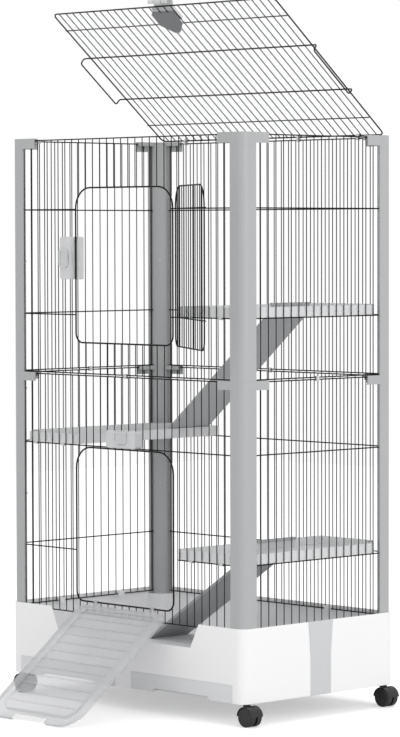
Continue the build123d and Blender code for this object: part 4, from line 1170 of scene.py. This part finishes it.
@dataclass
class Studio:
    """Pale floor, pale surroundings, soft lamps and the photograph's camera.

    Lengths are in metres and angles in degrees. The glows are what only the camera sees, on top
    of the light that the floor and the surroundings give the cage.
    """

    camera_at: Point = (5.7307, -5.4650, 1.1528)
    azimuth: float = 46.349
    elevation: float = 2.436
    roll: float = -0.127
    focal_px: float = 3223.1
    image_h: float = 737.0
    sensor_mm: float = 36.0
    sight: float = 60.0
    floor_half: float = 6.0
    floor_tones: Pair = (0.80, 0.81)
    floor_speck: float = 3.0
    floor_glow: float = 0.42
    sky_light: float = 0.80
    sky_glow: float = 0.20
    aim: Point = (0, 0, 0.75)
    lamps: tuple[Lamp, ...] = (Lamp("key", (-0.5, -4.2, 3.2), 3.0, 18.0),
                               Lamp("side", (4.4, -0.4, 2.2), 3.0, 54.0),
                               Lamp("top", (0.0, 0.2, 5.2), 4.0, 45.0))

    def build(self) -> None:
        """Make everything that isn't the cage."""
        self._floor()
        self._world()
        self._lamps()
        self._camera()

    @staticmethod
    def _seen(tree: Tree) -> Signal:
        """Return 1 where the camera looks and 0 for all other light."""
        return tree.signal("ShaderNodeLightPath", output="Is Camera Ray")

    def _floor(self) -> None:
        """Make a floor that looks white to the camera and keeps the shadow."""
        paint = Paint("studio_floor")
        dark, light = self.floor_tones
        colour = paint.blend(paint.noise(self.floor_speck), grey(dark), grey(light))
        diffuse = paint.node("ShaderNodeBsdfDiffuse", None, {"Color": colour})
        glow = paint.node("ShaderNodeEmission", None,
                          {"Color": grey(1), "Strength": self.floor_glow * self._seen(paint)})
        both = paint.node("ShaderNodeAddShader", None, {0: diffuse, 1: glow})
        paint.node("ShaderNodeOutputMaterial", None, {"Surface": both})
        mesh = bpy.data.meshes.new("studio_floor")
        h = self.floor_half
        mesh.from_pydata([(-h, -h, 0), (h, -h, 0), (h, h, 0), (-h, h, 0)], [], [(0, 1, 2, 3)])
        mesh.materials.append(paint.material)
        link(bpy.data.objects.new("studio_floor", mesh))

    def _world(self) -> None:
        """Make the surroundings white to the camera and an even pale light to the cage."""
        world = bpy.data.worlds.new("studio")
        world.use_nodes = True
        bpy.context.scene.world = world
        tree = Tree(world.node_tree)
        tree.nodes.nodes.clear()
        strength = self.sky_light + self.sky_glow * self._seen(tree)
        sky = tree.node("ShaderNodeBackground", None, {"Color": grey(1), "Strength": strength})
        tree.node("ShaderNodeOutputWorld", None, {"Surface": sky})

    def _lamps(self) -> None:
        """Add the soft lamps, each aimed at the middle of the cage."""
        for lamp in self.lamps:
            light = bpy.data.lights.new(lamp.name, "AREA")
            light.shape = "SQUARE"
            light.size = lamp.side
            light.energy = lamp.power
            made = link(bpy.data.objects.new(lamp.name, light))
            made.location = lamp.place
            ahead = Vector(self.aim) - Vector(lamp.place)
            made.rotation_euler = ahead.to_track_quat("-Z", "Y").to_euler()

    def _camera(self) -> None:
        """Add the camera, with a lens worked out from the photograph's focal length and height in pixels."""
        az, el = radians(self.azimuth), radians(self.elevation)
        back = Vector((sin(az) * cos(el), -cos(az) * cos(el), sin(el)))
        right = Vector((cos(az), sin(az), 0))
        up = back.cross(right)
        turn = Matrix((right, up, back)).transposed() @ Matrix.Rotation(radians(self.roll), 3, "Z")
        data = bpy.data.cameras.new("photo_camera")
        data.sensor_width = self.sensor_mm
        data.lens = self.focal_px / self.image_h * self.sensor_mm
        data.clip_end = self.sight
        made = link(bpy.data.objects.new("photo_camera", data))
        made.matrix_world = Matrix.Translation(self.camera_at) @ turn.to_4x4()
        bpy.context.scene.camera = made


def main() -> None:
    """Dress the cage, piece by piece, and set the stage round it."""
    logging.basicConfig(level=logging.INFO, format="%(message)s")
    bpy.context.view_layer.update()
    Mouldings().dress()
    panels = WirePanels()
    panels.build()
    UpperDoor().build(panels.wires, panels.welds)
    Lid().build(panels.wires, panels.welds)
    CornerPosts().build(panels.welds)
    Studio().build()
    bpy.context.scene.view_settings.view_transform = "Standard"


if __name__ == "__main__":
    main()
